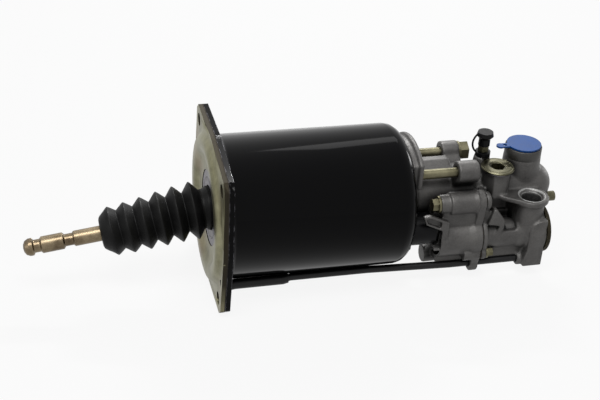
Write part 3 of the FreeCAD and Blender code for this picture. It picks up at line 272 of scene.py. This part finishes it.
FINISHES = {
    "black_paint": paint("black enamel", (0.001, 0.001, 0.0013), 0.06),
    "olive_zinc": flange_zinc("olive zinc", (0.12, 0.115, 0.065), (0.26, 0.25, 0.16),
                              (0.03, 0.026, 0.018), (0.2, 0.15, 0.1), 0.4),
    "gasket_fibre": rubber("gasket fibre", (0.03, 0.025, 0.02), 0.8),
    "plain_steel": plated("plain steel", (0.09, 0.085, 0.095), (0.19, 0.18, 0.2), 0.42),
    "boot_rubber": rubber("boot rubber", (0.0025, 0.0025, 0.0025), 0.5, 0.3),
    "yellow_zinc": plated("yellow zinc", (0.09, 0.065, 0.04), (0.25, 0.2, 0.13), 0.36),
    "cup_nylon": plastic("nylon", (0.6, 0.58, 0.5), 0.4),
    "cast_aluminium": cast_metal("cast aluminium", (0.036, 0.034, 0.033), (0.122, 0.118, 0.113)),
    "bolt_zinc": plated("bolt zinc", (0.065, 0.06, 0.036), (0.16, 0.148, 0.095), 0.42),
    "spring_steel": plated("spring steel", (0.1, 0.1, 0.1), (0.25, 0.25, 0.26), 0.4),
    "seal_rubber": rubber("seal rubber", (0.006, 0.006, 0.006), 0.4),
    "bush_bronze": plated("bronze", (0.3, 0.19, 0.07), (0.5, 0.34, 0.15), 0.35),
    "cap_rubber": rubber("cap rubber", (0.002, 0.002, 0.0025), 0.35, 0.3),
    "blue_plastic": plastic("blue plastic", (0.001, 0.045, 0.19), 0.45),
    "bright_zinc": plated("bright zinc", (0.06, 0.057, 0.036), (0.14, 0.132, 0.088), 0.4),
    "pipe_black": plastic("black pipe", (0.003, 0.003, 0.0035), 0.4),
}
MACHINED = cast_metal("machined aluminium", (0.028, 0.027, 0.025), (0.065, 0.063, 0.06), 0.0003, 0.1)
# The port's thread gets a near-black tone as painted shade inside the bore.
THREAD_IN_SHADE = cast_metal("threaded aluminium", (0.012, 0.012, 0.012), (0.05, 0.05, 0.05), 0.0002, 0.1)
BRIGHT_CUT = cast_metal("bright cut aluminium", (0.2, 0.2, 0.195), (0.42, 0.42, 0.41), 0.0003, 0.1)
for row in frame["record"]["subparts"]:
    mesh = nodes[row["node"]].data
    mesh.materials.clear()
    mesh.materials.append(FINISHES[row["material_slot"]])


def turn_angles(places):
    """Angles of evenly spaced places around a circle."""
    return np.linspace(0.0, 2 * np.pi, places, endpoint=False)


def surface(name, points, capped=False):
    """Mesh over a grid of points (row, place along the row, xyz) whose rows close on themselves.

    Corner (i, j) joins (i+1, j), (i+1, j+1) and (i, j+1), and after the last place comes the first.
    """
    rows, places = points.shape[:2]
    index = np.arange(rows * places).reshape(rows, places)
    beside = np.roll(index, -1, axis=1)
    quads = np.stack([index[:-1], index[1:], beside[1:], beside[:-1]], axis=-1).reshape(-1, 4)
    faces = [tuple(q) for q in quads.tolist()]
    if capped:
        faces.append(tuple(range(places)))
        faces.append(tuple(reversed(range((rows - 1) * places, rows * places))))
    mesh = bpy.data.meshes.new(name)
    mesh.from_pydata(points.reshape(-1, 3).tolist(), [], faces)
    mesh.polygons.foreach_set("use_smooth", [len(f) == 4 for f in faces])
    obj = bpy.data.objects.new(name, mesh)
    bpy.context.scene.collection.objects.link(obj)
    return obj


def spots_of(mesh):
    """The mesh's points as one array."""
    spots = np.empty(len(mesh.vertices) * 3)
    mesh.vertices.foreach_get("co", spots)
    return spots.reshape(-1, 3)


def finished(obj, slot, *replaced):
    """Gives a new piece its finish and, where it stands for CAD nodes, hides those."""
    obj.data.materials.clear()
    obj.data.materials.append(FINISHES[slot])
    if replaced:
        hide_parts(*replaced)
    return obj


def machined(obj, finish):
    """A cut face of a casting: it belongs to the castings' slot and shows a finish of its own."""
    finished(obj, "cast_aluminium").data.materials[0] = finish
    return obj


# Dust boot: a bellows around a drooping centre line, in two pieces that meet in a fold's root.
BALL_X, BOOT_END, DROOP = 0.031, 0.0846, math.radians(7.6)
FIRST_ROOT, FOLD_PITCH, FOLDS = 0.0055, 0.0127, 6
FIRST_TIP_RADIUS, LAST_TIP_RADIUS, ROOT_RADIUS = 0.0234, 0.0191, 0.0152
LAST_TIP = FIRST_ROOT + (FOLDS - 0.5) * FOLD_PITCH
BOOT_SPLIT = FIRST_ROOT + 4 * FOLD_PITCH
SPLIT_GAP = 0.00003
BEAD_REAR, BOOT_WALL = 0.0089, 0.0014
POINTS_A_FOLD = 26


def boot_rings(depth, radius):
    """Circles of the given radii on the boot's centre line at depths in front of the flange.

    The centre sinks by tan(droop) (ball + boot end) (u - 0.045 sin 2 pi u) at u = depth / boot end.
    Each ring leans by (droop (0.55 + 0.65 u) + 0.052 + 0.03 sin pi u) r (1 - 0.3 e), where r rises
    from 0 to 1 over 7 mm from 1 mm behind the flange, and e over the last 7 mm.
    """
    easing = 0.007
    u = np.clip(depth, 0.0, None) / BOOT_END
    sink = math.tan(DROOP) * (BALL_X + BOOT_END) * (u - 0.045 * np.sin(2 * np.pi * u))
    rise = np.clip((depth + 0.001) / easing, 0.0, 1.0)
    ending = np.clip((depth - BOOT_END + easing) / easing, 0.0, 1.0)
    lean = (DROOP * (0.55 + 0.65 * u) + 0.052 + 0.03 * np.sin(np.pi * u)) * rise * (1 - 0.3 * ending)
    turn = turn_angles(144)
    y = radius[:, None] * np.cos(turn)
    out = radius[:, None] * np.sin(turn)
    x = -depth[:, None] - out * np.sin(lean)[:, None]
    z = -sink[:, None] + out * np.cos(lean)[:, None]
    return np.stack([x, y, z], axis=-1)


def fold_radius(depth):
    """Radius over the folds: root + (tip - root) w / 0.91, with w cut off at 0 and 0.91.

    w = 1 - sqrt(0.94 (2 v - 1)^2 + 0.008) is a wave with softened tips, where v runs from 0 to 1
    over each fold, and the tip's radius shrinks evenly from the first fold to the last.
    """
    share = np.clip((depth - FIRST_ROOT) / (FOLD_PITCH * FOLDS), 0.0, 0.9999)
    v = (share * FOLDS) % 1.0
    tip = FIRST_TIP_RADIUS + (LAST_TIP_RADIUS - FIRST_TIP_RADIUS) * share
    wave = 1.0 - np.sqrt((2 * v - 1) ** 2 * 0.94 + 0.008)
    return ROOT_RADIUS + (tip - ROOT_RADIUS) * np.clip(wave / 0.91, 0.0, 1.0)


def folds(start, end, thin=0.0):
    """(depth, radius) points over the folds between two depths, less a wall thickness."""
    steps = max(2, round((end - start) / FOLD_PITCH * POINTS_A_FOLD))
    depth = np.linspace(start, end, steps + 1)
    return list(zip(depth, fold_radius(depth) - thin))


# (depth, radius) from the bead in the retainer over the folds to the collar on the rod.
outside = ([(-0.0089, 0.0279), (-0.0083, 0.0285), (-0.0026, 0.0285), (-0.0022, 0.0279),
            (-0.0021, 0.0175), (-0.0006, 0.0171), (0.0005, 0.0175), (0.0018, 0.0172), (0.0036, 0.0158)]
           + folds(FIRST_ROOT + 0.0001, LAST_TIP)
           + [(0.0785, 0.0167), (0.0815, 0.0144), (0.083, 0.0131), (0.0838, 0.0121),
              (0.0844, 0.0103), (0.0846, 0.0066)])
inside = ([(-0.0089, 0.026), (-0.0083, 0.026), (-0.0042, 0.026), (-0.004, 0.0256), (-0.0039, 0.0161),
           (-0.0006, 0.0157), (0.0005, 0.0161), (0.0018, 0.0158), (0.0036, 0.0144)]
          + folds(FIRST_ROOT + 0.0001, LAST_TIP, BOOT_WALL)
          + [(0.0782, 0.0138), (0.0792, 0.0075), (0.0805, 0.0064), (0.0844, 0.0063)])
boot_loop = np.array(outside + inside[::-1] + outside[:1])


def boot_part(name, keep_rear, gap=0.0):
    """The boot's closed skin on one side of the plane x = -BOOT_SPLIT - gap, with its cut closed."""
    obj = surface(name, boot_rings(boot_loop[:, 0], boot_loop[:, 1]))
    work = bmesh.new()
    work.from_mesh(obj.data)
    bmesh.ops.remove_doubles(work, verts=work.verts, dist=1e-7)
    everything = list(work.verts) + list(work.edges) + list(work.faces)
    bmesh.ops.bisect_plane(work, geom=everything, dist=1e-7, plane_co=(-BOOT_SPLIT - gap, 0, 0),
                           plane_no=(-1, 0, 0), clear_outer=keep_rear, clear_inner=not keep_rear)
    rim = [edge for edge in work.edges if edge.is_boundary]
    lid = bmesh.ops.triangle_fill(work, edges=rim, use_beauty=True)["geom"]
    for face in lid:
        if isinstance(face, bmesh.types.BMFace):
            face.smooth = False
    bmesh.ops.recalc_face_normals(work, faces=work.faces)
    for edge in rim:
        if edge.is_valid:
            edge.smooth = False
    work.to_mesh(obj.data)
    work.free()
    return finished(obj, "boot_rubber", "dust_boot")


boot_rear = boot_part("boot_rear_folds", True)
boot_front = boot_part("boot_front_folds", False, SPLIT_GAP)


def coil(name, mean, wire, start, end, turns, y, z):
    """Coil spring: a circle of the wire's radius carried along a helix about X.

    Along the helix the angle a runs over all turns, and the centre is
    (start + wire + rise a, y + mean cos a, z + mean sin a).
    """
    steps_a_turn, places_around = 40, 12
    angle = np.linspace(0.0, 2 * np.pi * turns, int(turns * steps_a_turn) + 1)[:, None]
    ring = turn_angles(places_around)[None, :]
    rise = (end - start - 2 * wire) / (2 * np.pi * turns)
    reach = mean + wire * np.cos(ring)
    points = np.stack([start + wire + rise * angle + wire * np.sin(ring),
                       y + reach * np.cos(angle), z + reach * np.sin(angle)], axis=-1)
    return finished(surface(name + "_coil", points, capped=True), "spring_steel", name)


VALVE_Y, VALVE_Z = -0.025, -0.0295
PISTON_TRAVEL, RELAY_TRAVEL, POPPET_TRAVEL = 0.05, 0.0025, 0.0015
# Each spring with its joint, the x of its resting end and the share of its length that it gives up.
springs = [
    (coil("preload_spring", 0.037, 0.0016, 0.04505, 0.14645, 7.0, 0.0, 0.0),
     "piston_slide", 0.14645, PISTON_TRAVEL / 0.1014),
    (coil("relay_spring", 0.0066, 0.0007, 0.21305, 0.22595, 4.0, VALVE_Y, VALVE_Z),
     "relay_slide", 0.21305, RELAY_TRAVEL / 0.0129),
    (coil("poppet_spring", 0.006, 0.0006, 0.19455, 0.20395, 4.0, VALVE_Y, VALVE_Z),
     "poppet_slide", 0.19455, POPPET_TRAVEL / 0.0094),
]


def bar(outline, low, high, axis="x"):
    """Closed bar: an outline in mm, across an axis, carried along it from low to high."""
    flat = np.array(outline, float)
    ends = [np.insert(flat, "xyz".index(axis), level, axis=1) for level in (low, high)]
    return surface("bar", np.stack(ends) * MM, capped=True)


def box(low, high):
    """Closed box between two corners in mm."""
    (x0, y0, z0), (x1, y1, z1) = low, high
    return bar([(y0, z0), (y1, z0), (y1, z1), (y0, z1)], x0, x1)


def round_outline(radius, y, z):
    angle = turn_angles(96)
    return np.stack([y + radius * np.cos(angle), z + radius * np.sin(angle)], axis=-1)


def tube(name, inner, outer, low, high, places):
    """Closed tube about the X axis, in mm: a rectangle of radii and ends turned about the axis."""
    angle = turn_angles(places)
    corners = [(low, inner), (low, outer), (high, outer), (high, inner), (low, inner)]
    rings = [np.stack([np.full(places, x), r * np.cos(angle), r * np.sin(angle)], axis=-1)
             for x, r in corners]
    return surface(name, np.stack(rings) * MM)


def lathe(name, profile, centre):
    """Closed ring: (radius, height) places in mm, joined in a loop and turned about a vertical axis."""
    loop = np.array(profile + profile[:1]) * MM
    angle = turn_angles(120)
    reach, level = loop[:, :1], np.repeat(loop[:, 1:], len(angle), axis=1)
    points = np.stack([centre[0] * MM + reach * np.cos(angle), centre[1] * MM + reach * np.sin(angle),
                       level], axis=-1)
    return surface(name, points)


def evaluated(obj):
    """Replaces an object's mesh by what its modifiers make of it."""
    graph = bpy.context.evaluated_depsgraph_get()
    mesh = bpy.data.meshes.new_from_object(obj.evaluated_get(graph))
    obj.modifiers.clear()
    obj.data = mesh
    return mesh


def welded(obj):
    """Merges the loose corners of an object's mesh and turns its faces outwards."""
    work = bmesh.new()
    work.from_mesh(obj.data)
    bmesh.ops.remove_doubles(work, verts=work.verts, dist=2e-6)
    bmesh.ops.recalc_face_normals(work, faces=work.faces)
    work.to_mesh(obj.data)
    work.free()


def joined(forms):
    """One object out of several closed forms."""
    work = bmesh.new()
    for form in forms:
        welded(form)
        work.from_mesh(form.data)
        bpy.data.objects.remove(form)
    mesh = bpy.data.meshes.new("forms")
    work.to_mesh(mesh)
    work.free()
    whole = bpy.data.objects.new("forms", mesh)
    bpy.context.scene.collection.objects.link(whole)
    return whole


def reworked(node, cut=(), added=()):
    """Welded copy of a CAD node with closed forms cut from it and others joined to it."""
    copy = bpy.data.objects.new(node + "_reworked", nodes[node].data.copy())
    bpy.context.scene.collection.objects.link(copy)
    welded(copy)
    for operation, forms in (("DIFFERENCE", cut), ("UNION", added)):
        if forms:
            tool = joined(forms)
            step = copy.modifiers.new(operation, "BOOLEAN")
            step.operation, step.solver, step.use_self, step.object = operation, "EXACT", True, tool
            evaluated(copy)
            bpy.data.objects.remove(tool)
    return copy


def as_cast(node, voxel, rounds, cut=(), added=()):
    """Copy of a casting with the soft edges of sand casting.

    The copy's triangles are remeshed on even voxels, and then each point moves half way to the
    mean of its neighbours, as many rounds as given.
    """
    copy = reworked(node, cut, added)
    copy.name = node + "_cast"
    remesh = copy.modifiers.new("even", "REMESH")
    remesh.mode = "VOXEL"
    remesh.voxel_size = voxel
    remesh.adaptivity = 0.0
    solid = evaluated(copy)
    spots = spots_of(solid)
    count = len(spots)
    links = np.empty(len(solid.edges) * 2, np.int64)
    solid.edges.foreach_get("vertices", links)
    first, second = links[0::2], links[1::2]
    share = 1.0 / np.maximum(np.bincount(links, minlength=count), 1)
    for _ in range(rounds):
        mean = np.stack([(np.bincount(first, spots[second, k], count)
                          + np.bincount(second, spots[first, k], count)) * share
                         for k in range(3)], axis=-1)
        spots = 0.5 * spots + 0.5 * mean
    solid.vertices.foreach_set("co", spots.ravel())
    solid.polygons.foreach_set("use_smooth", np.ones(len(solid.polygons), bool))
    solid.update()
    return finished(copy, "cast_aluminium", node)


# Castings, in mm: grooves and pockets are cut, and webs and ridges added, before the softening.
FORM_PLACES = 96
EAR_GROOVE = tube("ear groove", 47.0, 52, 156, 162.2, FORM_PLACES)
EAR_CORNER = box((156, -52, 17.5), (162.2, -27.6, 52))
PORT_CAVITIES = [box((223.9, -33.2, -15.8), (249, -12, 0.5)), box((238, -40, -23), (250, -15, 0.5))]
BARREL_RIDGE = bar([(-4, 19), (5, 25), (12, 25), (16, 12), (0, 10)], 165.5, 200)
LOWER_WEB = box((222, -34, -50), (262, -18, -44))
ARM_POCKET = bar([(168.0, -2.7), (171.3, -2.0), (181.5, -6.7), (181.5, -12.4), (169.8, -6.9)],
                 -45, -38.3, "y")
POPPET_ROOM = bar(round_outline(11.9, -25, -29.5), 194.0, 197)
JOINT_FILLS = [box((176, -33, -7.3), (190, -21, -1)), box((183, -33, -50), (216, -18, -44))]
servo_cast = as_cast("servo_housing", 0.00093, 3, cut=[EAR_GROOVE, EAR_CORNER, *PORT_CAVITIES],
                     added=[BARREL_RIDGE, LOWER_WEB])
valve_cast = as_cast("valve_housing", 0.0006, 3, cut=[ARM_POCKET, POPPET_ROOM], added=JOINT_FILLS)

# Flange pieces: the sides between the rounded middle and the corners run straight.
FLANGE_TURN = math.radians(4.0)
FLANGE_CREASE = math.radians(28)
BEAD_STARTS, BEAD_RAISE = -0.001, 2.0


def side_fills(low, high):
    """Eight corner-to-middle fills of a flange's outline, turned as the flange is."""
    fills = []
    for quarter in range(4):
        for hand in (1, -1):
            outline = np.array([(65.7, 5.6), (61.5, 55.6), (59.5, 54.6), (59.5, 26.0), (63.0, 5.0)])
            outline[:, 1] *= hand
            angle = quarter * math.pi / 2 + FLANGE_TURN
            spin = np.array([(math.cos(angle), math.sin(angle)), (-math.sin(angle), math.cos(angle))])
            fills.append(bar(outline @ spin, low, high))
    return fills


flange_pieces = []
for node, slot, low, high in (("cover_plate", "olive_zinc", 0.0, 3.0),
                              ("cover_gasket", "gasket_fibre", 3.0, 3.8),
                              ("cylinder_can", "black_paint", 3.8, 7.8)):
    piece = reworked(node, added=side_fills(low, high))
    piece.data.polygons.foreach_set("use_smooth", np.ones(len(piece.data.polygons), bool))
    piece.data.set_sharp_from_angle(angle=FLANGE_CREASE)
    flange_pieces.append(finished(piece, slot, node))
plate = flange_pieces[0].data
plate_spots = spots_of(plate)
plate_spots[plate_spots[:, 0] < BEAD_STARTS, 0] *= BEAD_RAISE
plate.vertices.foreach_set("co", plate_spots.ravel())
plate.update()

# Machined faces that stay crisp on the castings, and the fittings seated on them, in mm.
PORT, PLUG, INLET = (261.8, -29.0), (235.0, -14.0), (262.0, 0.0)
port_rim = machined(lathe("port_rim", [
    (11.4, 4.3), (11.5, 4.8), (11.2, 5.0), (10.9, 5.0), (8.35, 2.45), (8.35, 1.6), (9.0, 1.6),
    (10.8, 3.9)], PORT), BRIGHT_CUT)
collar = machined(lathe("inlet_collar", [
    (14.4, 27.1), (15.0, 27.2), (15.15, 27.5), (15.15, 35.3), (14.8, 35.9), (14.2, 35.9),
    (14.2, 27.1)], INLET), MACHINED)


def thread_skin(name, centre, radius, depth, pitch, low, high):
    """Closed threaded sleeve in mm.

    Its inside is radius + depth (1 - |1 - 2 v|), with v = (height / pitch + turn) mod 1.
    """
    steps_a_pitch, wall = 8, 0.5
    angle = turn_angles(120)
    height = np.linspace(high, low, int((high - low) / pitch * steps_a_pitch) + 1)[:, None]
    v = (height / pitch + angle / (2 * np.pi)) % 1.0
    inner = radius + depth * (1 - np.abs(1 - 2 * v))
    outer = np.full((1, len(angle)), radius + depth + wall)
    reach = np.concatenate([outer, inner, outer, outer])
    level = np.concatenate([[[high]], height, [[low]], [[high]]]) + 0 * angle
    points = np.stack([centre[0] + reach * np.cos(angle), centre[1] + reach * np.sin(angle), level],
                      axis=-1)
    return surface(name, points * MM)


port_thread = machined(thread_skin("port_thread", PORT, 7.75, 0.45, 1.5, -9.0, 1.5), THREAD_IN_SHADE)


def plug_points():
    """Plug turned about its axis, as (radius, height, mark) in mm.

    A place marked 1 follows a hexagon: r cos 30 / cos(turn within its sixth).
    """
    socket_turn = 0.2
    profile = np.array([
        (0.05, 12.0, 0), (7.9, 12.0, 0), (7.9, 23.1, 0), (12.6, 23.85, 0), (13.5, 24.2, 0),
        (13.7, 24.6, 0), (13.7, 25.3, 0), (13.0, 26.0, 0), (12.3, 26.1, 0), (12.0, 25.75, 0),
        (11.2, 25.75, 0), (10.9, 26.2, 0), (7.2, 26.2, 0), (6.9, 25.9, 0), (6.1, 25.5, 1),
        (5.9, 19.0, 1), (0.05, 18.5, 0)])
    angle = turn_angles(180)
    within = (angle + socket_turn) % (np.pi / 3) - np.pi / 6
    flat = math.cos(math.pi / 6) / np.cos(within)
    reach = profile[:, :1] * np.where(profile[:, 2:] > 0, flat, 1.0)
    level = np.repeat(profile[:, 1:2], len(angle), axis=1)
    return np.stack([PLUG[0] + reach * np.cos(angle), PLUG[1] + reach * np.sin(angle), level],
                    axis=-1) * MM


plug = surface("plug_head", plug_points(), capped=True)
plug.data.set_sharp_from_angle(angle=math.radians(35))
finished(plug, "bright_zinc", "hex_plug")
boot_washer = finished(tube("boot_washer", 18.0, 24.3, 0.6, 1.5, 120), "plain_steel")

# Breather pipe and its sleeve, in mm: both lie closer to the can than their solids do.
PIPE_ANGLE, PIPE_REACH = math.radians(58.19), 62.6
SLEEVE_SHORT = 2.8
SLEEVE_END = spots_of(nodes["pipe_sleeve"].data)[:, 0].max() / MM - SLEEVE_SHORT
SLEEVE_LINE = [(0, 0), (10, 0), (16, 0.75), (SLEEVE_END - 4, 0.85), (SLEEVE_END + 2, 2.05)]
PIPE_LINE = SLEEVE_LINE + [(125, 2.0), (195, 0)]


def drawn_pipe(node, outer, inner, line, short=0.0):
    """Tube along the pipe's axis, moved towards the can by the line's (x, mm) places between."""
    places, steps = 32, 90
    reach_along_x = spots_of(nodes[node].data)[:, 0] / MM
    along = np.linspace(reach_along_x.min(), reach_along_x.max() - short, steps)
    reach = PIPE_REACH - np.interp(along, *np.array(line).T)
    angle = turn_angles(places)
    rows = []
    for radius, order in ((outer, slice(None)), (inner, slice(None, None, -1))):
        for x, far in zip(along[order], reach[order]):
            rows.append(np.stack([np.full(places, x),
                                  -far * math.cos(PIPE_ANGLE) + radius * np.cos(angle),
                                  -far * math.sin(PIPE_ANGLE) + radius * np.sin(angle)], axis=-1))
    return finished(surface(node + "_run", np.stack(rows + rows[:1]) * MM), "pipe_black", node)


pipe_run = drawn_pipe("breather_pipe", 3.0, 2.2, PIPE_LINE)
sleeve_run = drawn_pipe("pipe_sleeve", 4.2, 3.05, SLEEVE_LINE, SLEEVE_SHORT)

# What each piece rides on, and meshes of their own for the springs, the boot's rear and the washer.
for piece in (pipe_run, sleeve_run, port_rim, collar, port_thread, plug, boot_washer, *flange_pieces,
              servo_cast, valve_cast, boot_rear):
    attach(piece, "base")
for piece, joint, anchor, share in springs:
    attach(piece, "base")
    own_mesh(piece)
for piece in (boot_rear, boot_washer):
    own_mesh(piece)
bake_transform(boot_front)

# Floor, backdrop, lamps and camera.
AZIMUTH, ELEVATION, ROLL = (math.radians(a) for a in (-15.4, 31.2, 3.44))
TARGET, DISTANCE = Vector((0.07423, 0.0, 0.00004)), 0.93
AWAY = Vector((math.sin(AZIMUTH) * math.cos(ELEVATION), -math.cos(AZIMUTH) * math.cos(ELEVATION),
               math.sin(ELEVATION)))
side = Vector((math.cos(AZIMUTH), math.sin(AZIMUTH), 0.0))
up = AWAY.cross(side)
right = side * math.cos(ROLL) + up * math.sin(ROLL)
top = up * math.cos(ROLL) - side * math.sin(ROLL)
camera = bpy.data.objects.new("camera", bpy.data.cameras.new("camera"))
bpy.context.scene.collection.objects.link(camera)
camera.matrix_world = Matrix((right, top, AWAY)).transposed().to_4x4()
camera.location = TARGET + AWAY * DISTANCE
camera.data.lens = 69.6
camera.data.sensor_width = 36.0
camera.data.clip_start = 0.01
bpy.context.scene.camera = camera


def pale(name, colour, share, world=False):
    """Shows white, by a share, to camera, mirror and clear rays, and a matt colour to all other light."""
    holder = bpy.data.worlds.new(name) if world else bpy.data.materials.new(name)
    holder.use_nodes = True
    tree = holder.node_tree
    tree.nodes.clear()
    out = tree.nodes.new("ShaderNodeOutputWorld" if world else "ShaderNodeOutputMaterial")
    path = tree.nodes.new("ShaderNodeLightPath")
    mix = tree.nodes.new("ShaderNodeMixShader")
    shown = tree.nodes.new("ShaderNodeBackground" if world else "ShaderNodeEmission")
    shown.inputs["Color"].default_value = (1, 1, 1, 1)
    plain = tree.nodes.new("ShaderNodeBackground" if world else "ShaderNodeBsdfDiffuse")
    plain.inputs["Color"].default_value = (*colour, 1)
    total = path.outputs["Is Camera Ray"]
    for ray in ("Is Glossy Ray", "Is Transmission Ray"):
        add = tree.nodes.new("ShaderNodeMath")
        add.use_clamp = True
        tree.links.new(total, add.inputs[0])
        tree.links.new(path.outputs[ray], add.inputs[1])
        total = add.outputs["Value"]
    part = tree.nodes.new("ShaderNodeMath")
    part.operation = "MULTIPLY"
    part.inputs[1].default_value = share
    tree.links.new(total, part.inputs[0])
    tree.links.new(part.outputs["Value"], mix.inputs["Fac"])
    tree.links.new(plain.outputs[0], mix.inputs[1])
    tree.links.new(shown.outputs[0], mix.inputs[2])
    tree.links.new(mix.outputs[0], out.inputs["Surface"])
    return holder


FLOOR_DROP, FLOOR_HALF = 0.0005, 3
bpy.context.scene.world = pale("studio", (0.09, 0.09, 0.093), 1.0, True)
floor_mesh = bpy.data.meshes.new("floor")
floor_z = cad_box[0][2] - FLOOR_DROP
floor_mesh.from_pydata([(x * FLOOR_HALF, y * FLOOR_HALF, floor_z)
                        for x, y in ((-1, -1), (1, -1), (1, 1), (-1, 1))], [], [(0, 1, 2, 3)])
floor = bpy.data.objects.new("floor", floor_mesh)
bpy.context.scene.collection.objects.link(floor)
floor_mesh.materials.append(pale("pale floor", (0.42, 0.42, 0.42), 0.9))


def softbox(name, place, aim, size, watts):
    """Rectangular soft lamp at a place, turned towards its aim."""
    lamp = bpy.data.lights.new(name, "AREA")
    lamp.shape = "RECTANGLE"
    lamp.size, lamp.size_y = size
    lamp.energy = watts
    obj = bpy.data.objects.new(name, lamp)
    bpy.context.scene.collection.objects.link(obj)
    obj.location = place
    obj.rotation_euler = (Vector(aim) - Vector(place)).to_track_quat("-Z", "Y").to_euler()


softbox("key", (-0.15, -0.5, 1.4), (0.05, 0, 0), (1.0, 0.45), 22.0)
softbox("back", (0.3, 1.0, 1.1), (0.1, 0, 0), (1.4, 0.3), 4.0)
softbox("left", (-1.2, -0.4, 0.5), (0, 0, 0), (0.7, 0.7), 3.0)
softbox("rear", (0.367, 0.988, 0.85), (0.072, 0, 0.0575), (0.34, 0.04), 12.0)
softbox("right", (1.25, 0.55, 0.1), (0.15, 0, 0.03), (0.3, 0.3), 2.5)
bpy.context.scene.view_settings.view_transform = "Standard"
